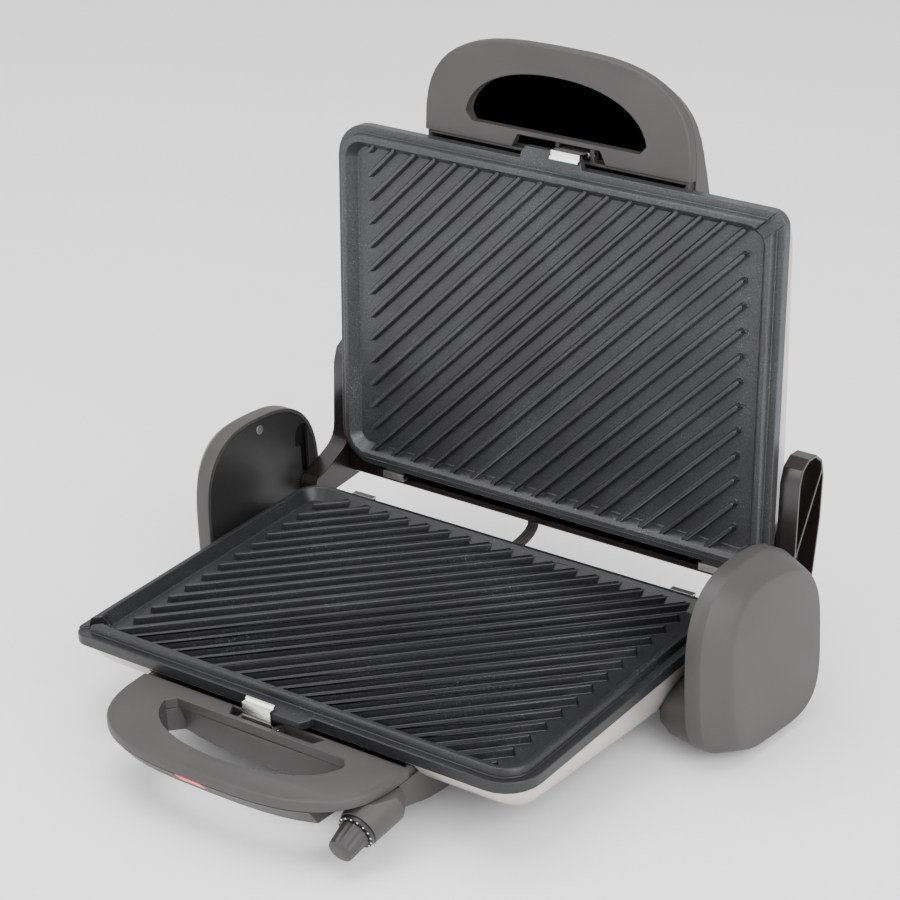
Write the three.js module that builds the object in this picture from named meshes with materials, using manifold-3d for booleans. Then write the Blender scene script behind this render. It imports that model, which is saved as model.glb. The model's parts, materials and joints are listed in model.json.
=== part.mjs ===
// A contact grill (panini press) standing open: two ribbed plates, a shallow base tray and a
// domed lid joined by hollow arms that turn and float in a pair of rounded pods.
// Millimetres, +Z up, X to the right, Y from the handles towards the hinge.
// Both halves are drawn in the same half frame: x from the middle, y from the plate's front
// edge, z from the plate's rim downwards. The lid half is then turned over and swung open.
import * as THREE from "three";
import { mergeVertices } from "three/addons/utils/BufferGeometryUtils.js";
import Module from "manifold-3d";

const wasm = await Module();
wasm.setup();

// ---------------------------------------------------------------- driving dimensions
const GAP = 0.3; // clearance between neighbouring pieces
const FUSE = 0.5; // how far joined parts of one piece run into each other
const RIM_HEIGHT = 58; // front edge of the lower rim above the table
const TILT_DEG = 3.06; // the plates fall this much towards the front
const LID_GAP = 0.8; // between the two rims when the lid is shut
const LID_OPEN_DEG = 93.06; // how far the lid stands open: upright

const PLATE_WIDTH = 315;
const PLATE_DEPTH = 227;
const PLATE_RADIUS = 22;
const SPOUT_RADIUS = 10;
const SPOUT_WIDTH = 8;
const FLANGE_DEPTH = 12;
const STEP_DROP = 5;
const RIDGE_INSET = 5;
const RIDGE_WIDTH = 4;
const POCKET_DEPTH = 7;
const POCKET_SLOPE = 5;
const FLOOR_THICKNESS = 2.5;
const FLANGE_WALL = 4;
const RIB_PITCH = 15.5; // along an edge of the plate
const RIB_WIDTH = 4.2;
const RIB_CROWN = 0.6; // crown width as a share of the foot
const RIB_HEIGHT = 4.6;
const RIB_SIDE_MARGIN = 23.5;
const RIB_PHASE = 6.85;
const RIB_END_MARGIN = 10;
const TONGUE_WIDTH = 44;
const TONGUE_LENGTH = 8;
const TONGUE_THICKNESS = 5;
const LUG_WIDTH = 14;
const LUG_LENGTH = 5;
const LUG_THICKNESS = 2.5;
const LUG_X = 118;

const SHELL_WALL = 1.2; // painted sheet
const TRAY_INSET = 1.2;
const BASE_FRONT_DEPTH = 21.5; // tray below the plate, front and back
const BASE_BACK_DEPTH = 44.5;
const LID_FRONT_DEPTH = 30;
const LID_BACK_DEPTH = 43.5;
const TRAY_FLOOR_LIP = 11;
const COVER_THICKNESS = 3;
const VENT_COUNT = 7;

const PAN_INSET_X = 24;
const PAN_FRONT = 52;
const PAN_BACK_INSET = 22;
const PAN_TOP = 24;
const PAN_DEPTH = 7;
const PAN_WALL = 0.8;
const ELEMENT_RADIUS = 3.25;
const ELEMENT_DROP = 18.5;
const ELEMENT_INSET_X = 38;
const ELEMENT_FRONT = 60;
const ELEMENT_BACK_INSET = 29;
const ELEMENT_BEND = 18;
const ELEMENT_LEG_X = 18;

const HANDLE_HALF_WIDTH = 94;
const HANDLE_REACH = 68;
const HANDLE_ROUNDNESS = 3;
const HANDLE_FACE_DROP = 13; // handle face below the rim
const HANDLE_PARTING_DROP = 19;
const HANDLE_BACK = 3; // handle's back edge in front of the plate
const HANDLE_WALL = 2.4;
const HANDLE_ROOT = 46; // how far the handle's foot runs in under the tray
const HANDLE_DEEPEST = 58;
const ROOT_HALF_WIDTH = 92;
const ROOT_TOP_DROP = 14;
const FINGER_HALF_WIDTH = 64;
const HANDLE_BAR = 18; // in front of the finger opening
const FINGER_WALL = 2.8; // between the clip's notch and the finger opening
const FINGER_ROUNDNESS = 2.2;
const NOTCH_HALF_WIDTH = 29;

const CLIP_X = -11;
const CLIP_WIDTH = 20;
const CLIP_SHEET = 1;
const CLIP_PIN_DROP = 16.5;
const CLIP_PIN_BEHIND_TIP = 1.4; // pin behind the tongue's tip
const CLIP_SWING_ROOM = 1.9; // in front of the clip
const CLIP_PIN_RADIUS = 1.5;
const CLIP_EYE_WALL = 1;
const CLIP_LIP = 3.5; // how far the lip reaches over the tongue
const CLIP_ROLL_RADIUS = 1.4;
const CHEEK_THICKNESS = 2.5;

const LENS_WIDTH = 18;
const LENS_X = -13;
const LENS_HEIGHT = 6;
const LENS_DEPTH = 3;
const LAMP_RADIUS = 2.5;
const LAMP_LENGTH = 14;

const KNOB_X = 81;
const KNOB_Y = -39.5;
const KNOB_DROP = 33.5;
const KNOB_TILT_DEG = 17;
const KNOB_RADIUS = 9;
const KNOB_TIP_RADIUS = 7.8;
const KNOB_LENGTH = 15;
const KNOB_FLUTES = 14;
const KNOB_FLUTE_DEPTH = 0.6;
const DIAL_RADIUS = 11;
const DIAL_THICKNESS = 2.4;
const SHAFT_RADIUS = 3;
const BOSS_RADIUS = 11.6;
const BOSS_FOOT_RADIUS = 15;
const BOSS_LENGTH = 30;
const BAY_WIDTH = 60;
const BAY_INNER = 18;
const BAY_DEPTH = 22; // behind the dial
const THERMOSTAT_RADIUS = 9;
const THERMOSTAT_LENGTH = 12;

const HINGE_BACK = 14.5; // hinge axis behind the plates
const HINGE_DROP = 14.5; // hinge axis below the lower rim
const HINGE_LIFT = 30; // how far the pins float up in the pods
const PIN_RADIUS = 3.4;
const PIN_CLEARANCE = 0.35;
const ARM_BESIDE_PLATE = 0.5;
const ARM_WIDTH = 13;
const ARM_BOTTOM_WALL = 2;
const ARM_RIM_WALL = 1.8;
const ARM_WEB = 1.4;
const ARM_BOSS_RADIUS = 8.5;
const POD_BESIDE_ARM = 1;
const POD_WIDTH = 24.5;
const POD_BAND = 8.5;
const POD_FRONT_BEVEL = 16;
const POD_TOP_BEVEL = 10;
const POD_BACK_BEVEL = 2.5;
const POD_BOTTOM_BEVEL = 3.5;
const POD_FACE_LEAN = 0.045; // the outer face leans in towards the front
const POD_FACE_RAKE = 0.03; // and towards the top
const POD_HALF_DEPTH = 55.75;
const POD_HALF_ABOVE = 56.5;
const POD_HALF_BELOW = 58.5;
const POD_BEHIND_PLATE = -27.75; // middle of a pod from the plate's back edge
const POD_MIDDLE_DROP = 7.5;
const POD_ROUNDNESS = 2.7;
const POD_ROUNDNESS_BELOW = 4;
const POD_SHEAR = 0.08;
const POD_WALL = 2.5;
const SLOT_HEAD_FRONT = 9; // slot head in front of the hinge axis
const SLOT_HEAD_FOOT = 2; // slot head's foot below the lifted pin
const SLOT_HEAD_ROOM = 12; // and its top above it
const SLIDER_HALF_DEPTH = 4.8;
const SLIDER_HALF_HEIGHT = 5;
const SLIDER_WIDTH = 7;
const NECK_ROOT = 13.5; // how far the necks reach in under the plate
const NECK_HALF_DEPTH = 40;
const NECK_HALF_HEIGHT = 22;
const NECK_AHEAD_OF_POD = 10;
const NECK_DROP = 40;
const POD_SCREW_AHEAD = 1;
const POD_SCREW_RISE = 47.5;
const SCREW_HEAD_RADIUS = 3.2;
const SCREW_HEAD_HEIGHT = 1.6;
const SCREW_RADIUS = 1.4;
const SCREW_LENGTH = 9;

const SPINE_REACH = 13; // lid spine behind the plate
const SPINE_WALL = 2.2;
const SPINE_TOP = 50;
const SPINE_RUN_IN = 16;

const LEAD_X = -25;
const LEAD_RADIUS = 3.6;
const LEAD_DROP = 24;
const LEAD_SPINE_DEPTH = 30; // where the lead enters the spine, below the upper rim
const INLET_X = 60;
const INLET_DROP = 30;
const INLET_RADIUS = 6.5;
const INLET_FLANGE_RADIUS = 9;
const INLET_BORE_RADIUS = 4;

const FOOT_RADIUS = 9;
const FOOT_X = 48;
const FOOT_Y = 28;
const PAD_LENGTH = 34;
const PAD_WIDTH = 13;
const COVER_SCREW_INSET = 39;
const COVER_SCREW_FRONT = 72;
const COVER_SCREW_BACK_INSET = 45;
const HOOK_SHEET = 1.2;
const HOOK_WIDTH = 16;

const CORNER_STEPS = 6;
const CURVE_STEPS = 26;
const ROUND_SIDES = 24;
const LEAD_SIDES = 8;

// ---------------------------------------------------------------- derived values
const HALF_WIDTH = PLATE_WIDTH / 2;
const ARM_INNER_X = HALF_WIDTH + ARM_BESIDE_PLATE;
const ARM_OUTER_X = ARM_INNER_X + ARM_WIDTH;
const POD_INNER_X = ARM_OUTER_X + POD_BESIDE_ARM;
const NECK_INNER_X = HALF_WIDTH - NECK_ROOT;
const HINGE_Y = PLATE_DEPTH + HINGE_BACK;
const POD_Y = PLATE_DEPTH + POD_BEHIND_PLATE;
const POD_OUTER_X = POD_INNER_X + POD_WIDTH;
const POD_SCREW_Y = POD_Y - POD_SCREW_AHEAD;
const POD_SCREW_Z = POD_SCREW_RISE - POD_MIDDLE_DROP;
const POD_COVER_OUTER_X = POD_INNER_X + GAP + POD_WALL;
const SLIDER_X = POD_COVER_OUTER_X + GAP;
const RIM_LID_Z = HINGE_DROP + LID_GAP; // hinge axis height in the lid's own half frame
const CLIP_PIN_Y = CLIP_PIN_BEHIND_TIP - TONGUE_LENGTH;
const NOTCH_BACK = TONGUE_LENGTH + GAP + CLIP_SHEET + CLIP_SWING_ROOM;
const FINGER_BACK = NOTCH_BACK + FINGER_WALL;
const FINGER_REACH = HANDLE_REACH - HANDLE_BAR - FINGER_BACK;

// A tray's wall as [share of its depth, inset at the sides and back, inset at the front].
const BASE_PROFILE = [
  [0, TRAY_INSET, TRAY_INSET],
  [0.2, 2.8, 4],
  [0.4, 4.8, 8],
  [0.6, 7.6, 13],
  [0.8, 13, 21],
  [1, 23, 33],
];
const LID_PROFILE = [
  [0, TRAY_INSET, TRAY_INSET],
  [0.2, 2.4, 4],
  [0.5, 7, 10],
  [0.75, 14, 20],
  [0.92, 27, 34],
  [1, 46, 52],
];
// The handle's deep shell: [drop, inset at its sides, inset at its front].
const HANDLE_PROFILE = [
  [HANDLE_PARTING_DROP + GAP, 0, 0],
  [23, 0.2, 3.2],
  [28, 0.5, 7],
  [34, 1, 12],
  [42, 2, 20],
  [HANDLE_DEEPEST, 6, 33],
];
// The two handles: offset from the middle, how far the finger opening's back wall bulges
// forwards, and the underside as [y, drop], low under the tray and rising to the front.
const BASE_HANDLE = {
  x: -5.5,
  belly: 4,
  controls: true,
  underside: [
    [HANDLE_ROOT + 1, 50.6],
    [21, 45.5],
    [-5, 36.5],
    [-28, 32],
    [-HANDLE_REACH - 1, 29.5],
  ],
};
const LID_HANDLE = {
  x: 3,
  belly: -9.5,
  controls: false,
  underside: [
    [HANDLE_ROOT + 1, 50.6],
    [21, 44],
    [-5, 33],
    [-28, 27.5],
    [-HANDLE_REACH - 1, 27],
  ],
};
const BASE_TRAY = { profile: BASE_PROFILE, front: BASE_FRONT_DEPTH, back: BASE_BACK_DEPTH };
const LID_TRAY = { profile: LID_PROFILE, front: LID_FRONT_DEPTH, back: LID_BACK_DEPTH };

// ---------------------------------------------------------------- looks
const CAST_COATING = { color: 0x3a3c40, roughness: 0.55, metalness: 0.2 };
const METALLIC_PAINT = { color: 0xa59d9b, roughness: 0.38, metalness: 0.55 };
const DARK_PLASTIC = { color: 0x64615f, roughness: 0.72, metalness: 0 };
const BLACK_PLASTIC = { color: 0x1c1b1b, roughness: 0.6, metalness: 0 };
const BROWN_PLASTIC = { color: 0x231919, roughness: 0.3, metalness: 0 };
const CHROME = { color: 0xd8d8d6, roughness: 0.15, metalness: 1 };
const STEEL = { color: 0xb4b4b0, roughness: 0.35, metalness: 0.9 };
const RED_LENS = { color: 0xe13c32, roughness: 0.2, metalness: 0 };
const LAMP_GLASS = { color: 0xf0a070, roughness: 0.1, metalness: 0 };
const RUBBER = { color: 0x202020, roughness: 0.9, metalness: 0 };
const BRAID = { color: 0x2a2626, roughness: 0.85, metalness: 0 };
const CERAMIC = { color: 0xe4ddcc, roughness: 0.5, metalness: 0 };

// ---------------------------------------------------------------- solids
// A closed three.js geometry as a solid that can be cut and joined.
function solid(geometry) {
  const plain = geometry.index ? geometry.toNonIndexed() : geometry.clone();
  plain.deleteAttribute("normal");
  plain.deleteAttribute("uv");
  const merged = mergeVertices(plain, 1e-4);
  return new wasm.Manifold(
    new wasm.Mesh({
      numProp: 3,
      vertProperties: merged.attributes.position.array,
      triVerts: new Uint32Array(merged.index.array),
    }),
  );
}

function geometryOf(body) {
  const { vertProperties, triVerts } = body.getMesh();
  const geometry = new THREE.BufferGeometry();
  geometry.setAttribute("position", new THREE.BufferAttribute(vertProperties, 3));
  geometry.setIndex(new THREE.BufferAttribute(triVerts, 1));
  return geometry;
}

function joined(...bodies) {
  return bodies.reduce((whole, body) => whole.add(body));
}

function cut(body, ...tools) {
  return tools.reduce((left, tool) => left.subtract(tool), body);
}

// The same body on the other side of the middle plane, with its faces turned back outwards.
function mirrored(body) {
  const geometry = geometryOf(body);
  geometry.scale(-1, 1, 1);
  const index = geometry.index.array;
  for (let i = 0; i < index.length; i += 3) {
    [index[i + 1], index[i + 2]] = [index[i + 2], index[i + 1]];
  }
  return solid(geometry);
}

function onSide(side, body) {
  return side < 0 ? mirrored(body) : body;
}

function nearestIndex(outline, x, y) {
  const away = outline.map((point) => (point.x - x) ** 2 + (point.y - y) ** 2);
  return away.indexOf(Math.min(...away));
}

// Outlines of equal length, one above the other, as one closed geometry along +Z.
function lofted(outlines, heights) {
  const steps = heights.length - 1;
  const shape = new THREE.Shape(outlines[0]);
  const geometry = new THREE.ExtrudeGeometry(shape, { depth: steps, steps, bevelEnabled: false });
  const position = geometry.getAttribute("position");
  for (let i = 0; i < position.count; i += 1) {
    const corner = nearestIndex(outlines[0], position.getX(i), position.getY(i));
    const level = Math.round(position.getZ(i));
    const point = outlines[level][corner];
    position.setXYZ(i, point.x, point.y, heightAt(heights[level], point));
  }
  return geometry;
}

// A level's height is a number, or a formula of the point for a leaning level.
function heightAt(height, point) {
  return typeof height === "function" ? height(point) : height;
}

function prism(outline, low, high) {
  return lofted([outline, outline], [low, high]);
}

// Turns a geometry drawn with its outline in (y, z) and its height along x.
function alongX(geometry) {
  const axes = new THREE.Matrix4().makeBasis(
    new THREE.Vector3(0, 1, 0),
    new THREE.Vector3(0, 0, 1),
    new THREE.Vector3(1, 0, 0),
  );
  return geometry.applyMatrix4(axes);
}

function box(x0, x1, y0, y1, z0, z1) {
  const geometry = new THREE.BoxGeometry(x1 - x0, y1 - y0, z1 - z0);
  geometry.translate((x0 + x1) / 2, (y0 + y1) / 2, (z0 + z1) / 2);
  return solid(geometry);
}

function cylinderAlongZ(radius, low, high, sides = ROUND_SIDES) {
  const geometry = new THREE.CylinderGeometry(radius, radius, high - low, sides);
  geometry.rotateX(Math.PI / 2);
  return geometry.translate(0, 0, (low + high) / 2);
}

function cylinderAlongX(radius, x0, x1, y, z, sides = ROUND_SIDES) {
  const geometry = new THREE.CylinderGeometry(radius, radius, x1 - x0, sides);
  geometry.rotateZ(Math.PI / 2);
  return solid(geometry.translate((x0 + x1) / 2, y, z));
}

function cylinderAlongY(radius, y0, y1, x, z, sides = ROUND_SIDES) {
  const geometry = new THREE.CylinderGeometry(radius, radius, y1 - y0, sides);
  return solid(geometry.translate(x, (y0 + y1) / 2, z));
}

// A turned body about +Z: [radius, height] pairs that start and end on the axis.
function turned(profile, sides = ROUND_SIDES) {
  const points = profile.map(([radius, height]) => new THREE.Vector2(radius, height));
  const geometry = new THREE.LatheGeometry(points, sides);
  return geometry.rotateX(Math.PI / 2);
}

// ---------------------------------------------------------------- outlines
function roundedRectangle(x0, x1, y0, y1, radii) {
  const corners = [
    [x0, y0, 1, 1, radii[0], Math.PI],
    [x1, y0, -1, 1, radii[1], 1.5 * Math.PI],
    [x1, y1, -1, -1, radii[2], 0],
    [x0, y1, 1, -1, radii[3], 0.5 * Math.PI],
  ];
  const points = [];
  for (const [x, y, inX, inY, radius, start] of corners) {
    for (let i = 0; i <= CORNER_STEPS; i += 1) {
      const angle = start + (i / CORNER_STEPS) * (Math.PI / 2);
      const px = x + inX * radius + radius * Math.cos(angle);
      const py = y + inY * radius + radius * Math.sin(angle);
      points.push(new THREE.Vector2(px, py));
    }
  }
  return points;
}

// The plate's outline moved in. Only the spout's corner, front left, is tighter.
function plateOutline(inset, spoutRadius = SPOUT_RADIUS) {
  const radius = Math.max(PLATE_RADIUS - inset, 4);
  const spout = Math.max(spoutRadius - inset, 3);
  return roundedRectangle(
    inset - HALF_WIDTH,
    HALF_WIDTH - inset,
    inset,
    PLATE_DEPTH - inset,
    [spout, radius, radius, radius],
  );
}

function trayOutline(inset, frontInset) {
  const radius = Math.max(PLATE_RADIUS - inset, 4);
  return roundedRectangle(
    inset - HALF_WIDTH,
    HALF_WIDTH - inset,
    frontInset,
    PLATE_DEPTH - inset,
    [radius, radius, radius, radius],
  );
}

// Part of a superellipse in front of the line y = back, from right to left.
function bowedFront(middle, halfWidth, reach, roundness, back) {
  const points = [];
  for (let i = 0; i <= CURVE_STEPS; i += 1) {
    const angle = (i / CURVE_STEPS) * Math.PI;
    const across = Math.abs(Math.cos(angle)) ** (2 / roundness);
    const ahead = Math.max(Math.abs(Math.sin(angle)), 1e-9) ** (2 / roundness);
    const x = middle + Math.sign(Math.cos(angle)) * halfWidth * across;
    points.push(new THREE.Vector2(x, back - reach * ahead));
  }
  return points;
}

function handleOutline(handle, sideInset, frontInset, back) {
  const points = bowedFront(
    handle.x,
    HANDLE_HALF_WIDTH - sideInset,
    HANDLE_REACH - HANDLE_BACK - frontInset,
    HANDLE_ROUNDNESS,
    -HANDLE_BACK,
  );
  points.push(new THREE.Vector2(handle.x - ROOT_HALF_WIDTH + sideInset, back));
  points.push(new THREE.Vector2(handle.x + ROOT_HALF_WIDTH - sideInset, back));
  return points;
}

// The finger opening moved in by an inset, with its back edge bulging forwards by a belly.
function fingerOutline(handle, inset, belly) {
  const outline = bowedFront(
    handle.x,
    FINGER_HALF_WIDTH - inset,
    FINGER_REACH - 2 * inset,
    FINGER_ROUNDNESS,
    -FINGER_BACK - inset,
  ).slice(1, -1);
  const steps = 8;
  const half = FINGER_HALF_WIDTH - inset - 5;
  for (let i = 0; i <= steps; i += 1) {
    const x = half * ((2 * i) / steps - 1);
    const bulge = belly * (1 - 2.2 * (x / half) ** 2);
    outline.push(new THREE.Vector2(handle.x + x, -FINGER_BACK - inset - (belly > 0 ? bulge : belly)));
  }
  return outline;
}

// Rounded outline in (y, z) for the pods and their necks. Its lower half can be squarer, and
// each side can be moved in by its own amount.
function rounded(middle, half, roundness, shear, inset) {
  const steps = 2 * CURVE_STEPS;
  const points = [];
  for (let i = 0; i < steps; i += 1) {
    const angle = (i / steps) * 2 * Math.PI;
    const above = Math.sin(angle) >= 0;
    const power = 2 / (above ? roundness.above : roundness.below);
    const across = Math.sign(Math.cos(angle)) * Math.abs(Math.cos(angle)) ** power;
    const up = Math.sign(Math.sin(angle)) * Math.abs(Math.sin(angle)) ** power;
    const y = across * (half.depth - (across > 0 ? inset.back : inset.front));
    const z = up * (above ? half.above - inset.top : half.below - inset.bottom);
    points.push(new THREE.Vector2(middle.y + y, middle.z + z - shear * y));
  }
  return points;
}

function podOutline(inset, bevel = 0) {
  return rounded(
    { y: POD_Y, z: -POD_MIDDLE_DROP },
    { depth: POD_HALF_DEPTH, above: POD_HALF_ABOVE, below: POD_HALF_BELOW },
    { above: POD_ROUNDNESS, below: POD_ROUNDNESS_BELOW },
    POD_SHEAR,
    {
      front: inset + bevel * POD_FRONT_BEVEL,
      back: inset + bevel * POD_BACK_BEVEL,
      top: inset + bevel * POD_TOP_BEVEL,
      bottom: inset + bevel * POD_BOTTOM_BEVEL,
    },
  );
}

// Moves every point of a closed counter-clockwise outline inwards.
function movedIn(outline, distance) {
  return outline.map((point, i) => {
    const before = outline[(i + outline.length - 1) % outline.length];
    const after = outline[(i + 1) % outline.length];
    const arrive = point.clone().sub(before).normalize();
    const leave = after.clone().sub(point).normalize();
    const normal = new THREE.Vector2(-arrive.y - leave.y, arrive.x + leave.x).normalize();
    const miter = Math.max(normal.dot(new THREE.Vector2(-leave.y, leave.x)), 0.5);
    return point.clone().addScaledVector(normal, distance / miter);
  });
}

// ---------------------------------------------------------------- grill plate
function rib(length) {
  const radius = RIB_WIDTH / 2;
  const outline = [];
  const steps = 4;
  for (const end of [1, -1]) {
    for (let i = 0; i <= steps; i += 1) {
      const angle = (i / steps) * Math.PI - Math.PI / 2;
      const x = end * ((length - RIB_WIDTH) / 2 + radius * Math.cos(angle));
      outline.push(new THREE.Vector2(x, end * radius * Math.sin(angle)));
    }
  }
  const crown = outline.map((point) => {
    const shortened = point.x - Math.sign(point.x) * radius * (1 - RIB_CROWN);
    return new THREE.Vector2(shortened, point.y * RIB_CROWN);
  });
  return lofted([outline, crown], [-POCKET_DEPTH - FUSE, RIB_HEIGHT - POCKET_DEPTH]);
}

// Ribs run at 45 degrees towards the spout's corner, each cut off at the pocket's margins.
function ribs() {
  const right = HALF_WIDTH - RIB_SIDE_MARGIN;
  const front = RIB_END_MARGIN;
  const back = PLATE_DEPTH - RIB_END_MARGIN;
  const made = [];
  const shortest = 2 * RIB_WIDTH;
  const first = RIB_PHASE - RIB_PITCH * Math.floor((right - front + RIB_PHASE) / RIB_PITCH);
  for (let offset = first; offset < back + right; offset += RIB_PITCH) {
    const start = Math.max(-right, front - offset);
    const end = Math.min(right, back - offset);
    const length = (end - start) * Math.SQRT2;
    if (length < shortest) continue;
    const geometry = rib(length);
    geometry.rotateZ(Math.PI / 4);
    geometry.translate((start + end) / 2, (start + end) / 2 + offset, 0);
    made.push(solid(geometry));
  }
  return made;
}

function spoutChannel() {
  const reach = 3 * PLATE_RADIUS;
  const geometry = new THREE.BoxGeometry(reach, SPOUT_WIDTH, POCKET_DEPTH);
  geometry.translate(0, 0, POCKET_DEPTH / 2 + 0.8 - POCKET_DEPTH);
  geometry.rotateZ(Math.PI / 4);
  return solid(geometry.translate(-HALF_WIDTH, 0, 0));
}

function tongue() {
  const tip = TONGUE_WIDTH / 2 - 4;
  const outline = [
    new THREE.Vector2(-TONGUE_WIDTH / 2, FUSE),
    new THREE.Vector2(1 - TONGUE_WIDTH / 2, -TONGUE_LENGTH / 2),
    new THREE.Vector2(-tip, -TONGUE_LENGTH),
    new THREE.Vector2(tip, -TONGUE_LENGTH),
    new THREE.Vector2(TONGUE_WIDTH / 2 - 1, -TONGUE_LENGTH / 2),
    new THREE.Vector2(TONGUE_WIDTH / 2, FUSE),
  ];
  return solid(prism(outline, -STEP_DROP - TONGUE_THICKNESS, -STEP_DROP));
}

function rearLug(x) {
  const top = -STEP_DROP - LUG_THICKNESS;
  const back = PLATE_DEPTH + LUG_LENGTH;
  return box(x - LUG_WIDTH / 2, x + LUG_WIDTH / 2, PLATE_DEPTH - FUSE, back, top - LUG_THICKNESS, top);
}

function grillPlate() {
  const flange = solid(prism(plateOutline(0), -FLANGE_DEPTH, -STEP_DROP));
  const ridge = lofted(
    [plateOutline(RIDGE_INSET), plateOutline(RIDGE_INSET + 0.5), plateOutline(RIDGE_INSET + 1.2)],
    [-STEP_DROP - FUSE, -1, 0],
  );
  const pocketTop = RIDGE_INSET + RIDGE_WIDTH;
  const pocket = lofted(
    [plateOutline(pocketTop + POCKET_SLOPE, PLATE_RADIUS), plateOutline(pocketTop, PLATE_RADIUS)],
    [-POCKET_DEPTH, FUSE],
  );
  const underside = prism(
    plateOutline(FLANGE_WALL, PLATE_RADIUS),
    -FLANGE_DEPTH - FUSE,
    -POCKET_DEPTH - FLOOR_THICKNESS,
  );
  const casting = cut(
    joined(flange, solid(ridge), tongue(), rearLug(LUG_X), rearLug(-LUG_X)),
    solid(pocket),
    solid(underside),
    spoutChannel(),
  );
  return joined(casting, ...ribs());
}

// ---------------------------------------------------------------- sheet housings
// Height of a tray's wall at a share of its depth, which grows from front to back.
function trayHeight(tray, share, raise = 0) {
  const growth = (tray.back - tray.front) / PLATE_DEPTH;
  return (point) => raise - FLANGE_DEPTH - 0.4 - share * (tray.front + growth * point.y);
}

function shellSolid(tray, grow) {
  const rows = [...tray.profile].reverse();
  return solid(
    lofted(
      rows.map(([, side, front]) => trayOutline(side - grow, front - grow)),
      rows.map(([share]) => trayHeight(tray, share, share === 1 ? -grow : 0)),
    ),
  );
}

function shellHollow(tray) {
  const rows = [...tray.profile].reverse();
  const raise = (share) => (share === 1 ? SHELL_WALL : share === 0 ? FUSE : 0);
  return solid(
    lofted(
      rows.map(([, side, front]) => trayOutline(side + SHELL_WALL, front + SHELL_WALL)),
      rows.map(([share]) => trayHeight(tray, share, raise(share))),
    ),
  );
}

// A slab that follows the base tray's leaning floor, given its insets and its two faces.
function floorSlab(inset, low, high) {
  const [, side, front] = BASE_PROFILE[BASE_PROFILE.length - 1];
  const outline = trayOutline(side + inset, front + inset);
  return solid(
    lofted(
      [outline, outline],
      [trayHeight(BASE_TRAY, 1, low), trayHeight(BASE_TRAY, 1, high)],
    ),
  );
}

function floorHeight(x, y) {
  return trayHeight(BASE_TRAY, 1)({ x, y });
}

function coverScrewHoles() {
  return coverScrewPlaces().map(([x, y]) => {
    const middle = floorHeight(x, y);
    return solid(cylinderAlongZ(SCREW_RADIUS + GAP, middle - 6, middle + 4, 12).translate(x, y, 0));
  });
}

function baseHousing(handleRoot) {
  const leadHole = cylinderAlongY(
    LEAD_RADIUS + 2 * GAP,
    PLATE_DEPTH - 20,
    PLATE_DEPTH,
    LEAD_X,
    -LEAD_DROP,
  );
  const inletHole = cylinderAlongY(
    INLET_RADIUS + GAP,
    PLATE_DEPTH - 25,
    PLATE_DEPTH,
    INLET_X,
    -INLET_DROP,
  );
  return cut(
    shellSolid(BASE_TRAY, 0),
    shellHollow(BASE_TRAY),
    floorSlab(TRAY_FLOOR_LIP, -FUSE, SHELL_WALL + FUSE),
    handleRoot,
    leadHole,
    inletHole,
    ...coverScrewHoles(),
  );
}

function lidHousing(handleRoot) {
  return cut(shellSolid(LID_TRAY, 0), shellHollow(LID_TRAY), handleRoot);
}

function coverScrewPlaces() {
  const places = [];
  for (const x of [HALF_WIDTH - COVER_SCREW_INSET, COVER_SCREW_INSET - HALF_WIDTH]) {
    for (const y of [COVER_SCREW_FRONT, PLATE_DEPTH - COVER_SCREW_BACK_INSET]) {
      places.push([x, y]);
    }
  }
  return places;
}

function bottomCover(handleRoot) {
  const vents = [];
  for (let i = 0; i < VENT_COUNT; i += 1) {
    const x = (i - (VENT_COUNT - 1) / 2) * 12;
    vents.push(box(x - 2, x + 2, 100, 150, -2 * HANDLE_DEEPEST, 0));
  }
  return cut(
    floorSlab(1, -GAP - COVER_THICKNESS, -GAP),
    handleRoot,
    ...vents,
    ...coverScrewHoles(),
  );
}

function reflectorPan() {
  const outline = (inset) =>
    roundedRectangle(
      PAN_INSET_X + inset - HALF_WIDTH,
      HALF_WIDTH - PAN_INSET_X - inset,
      PAN_FRONT + inset,
      PLATE_DEPTH - PAN_BACK_INSET - inset,
      [14, 14, 14, 14],
    );
  const low = -PAN_TOP - PAN_DEPTH;
  const outer = solid(lofted([outline(3), outline(0)], [low, -PAN_TOP]));
  const inner = lofted(
    [outline(3 + PAN_WALL), outline(PAN_WALL)],
    [low + PAN_WALL, FUSE - PAN_TOP],
  );
  return cut(outer, solid(inner));
}

// A tube through straight runs joined by round bends.
function bentTube(corners, radius, bend, sides, steps) {
  const path = new THREE.CurvePath();
  let from = corners[0];
  for (let i = 1; i < corners.length; i += 1) {
    const corner = corners[i];
    const next = corners[i + 1];
    if (!next) {
      path.add(new THREE.LineCurve3(from, corner));
      break;
    }
    const enter = corner.clone().add(from.clone().sub(corner).setLength(bend));
    const leave = corner.clone().add(next.clone().sub(corner).setLength(bend));
    path.add(new THREE.LineCurve3(from, enter));
    path.add(new THREE.QuadraticBezierCurve3(enter, corner, leave));
    from = leave;
  }
  const section = new THREE.Shape();
  for (let i = 0; i < sides; i += 1) {
    const angle = (i / sides) * 2 * Math.PI;
    const point = [radius * Math.cos(angle), radius * Math.sin(angle)];
    if (i === 0) section.moveTo(...point);
    else section.lineTo(...point);
  }
  return new THREE.ExtrudeGeometry(section, { steps, bevelEnabled: false, extrudePath: path });
}

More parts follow.
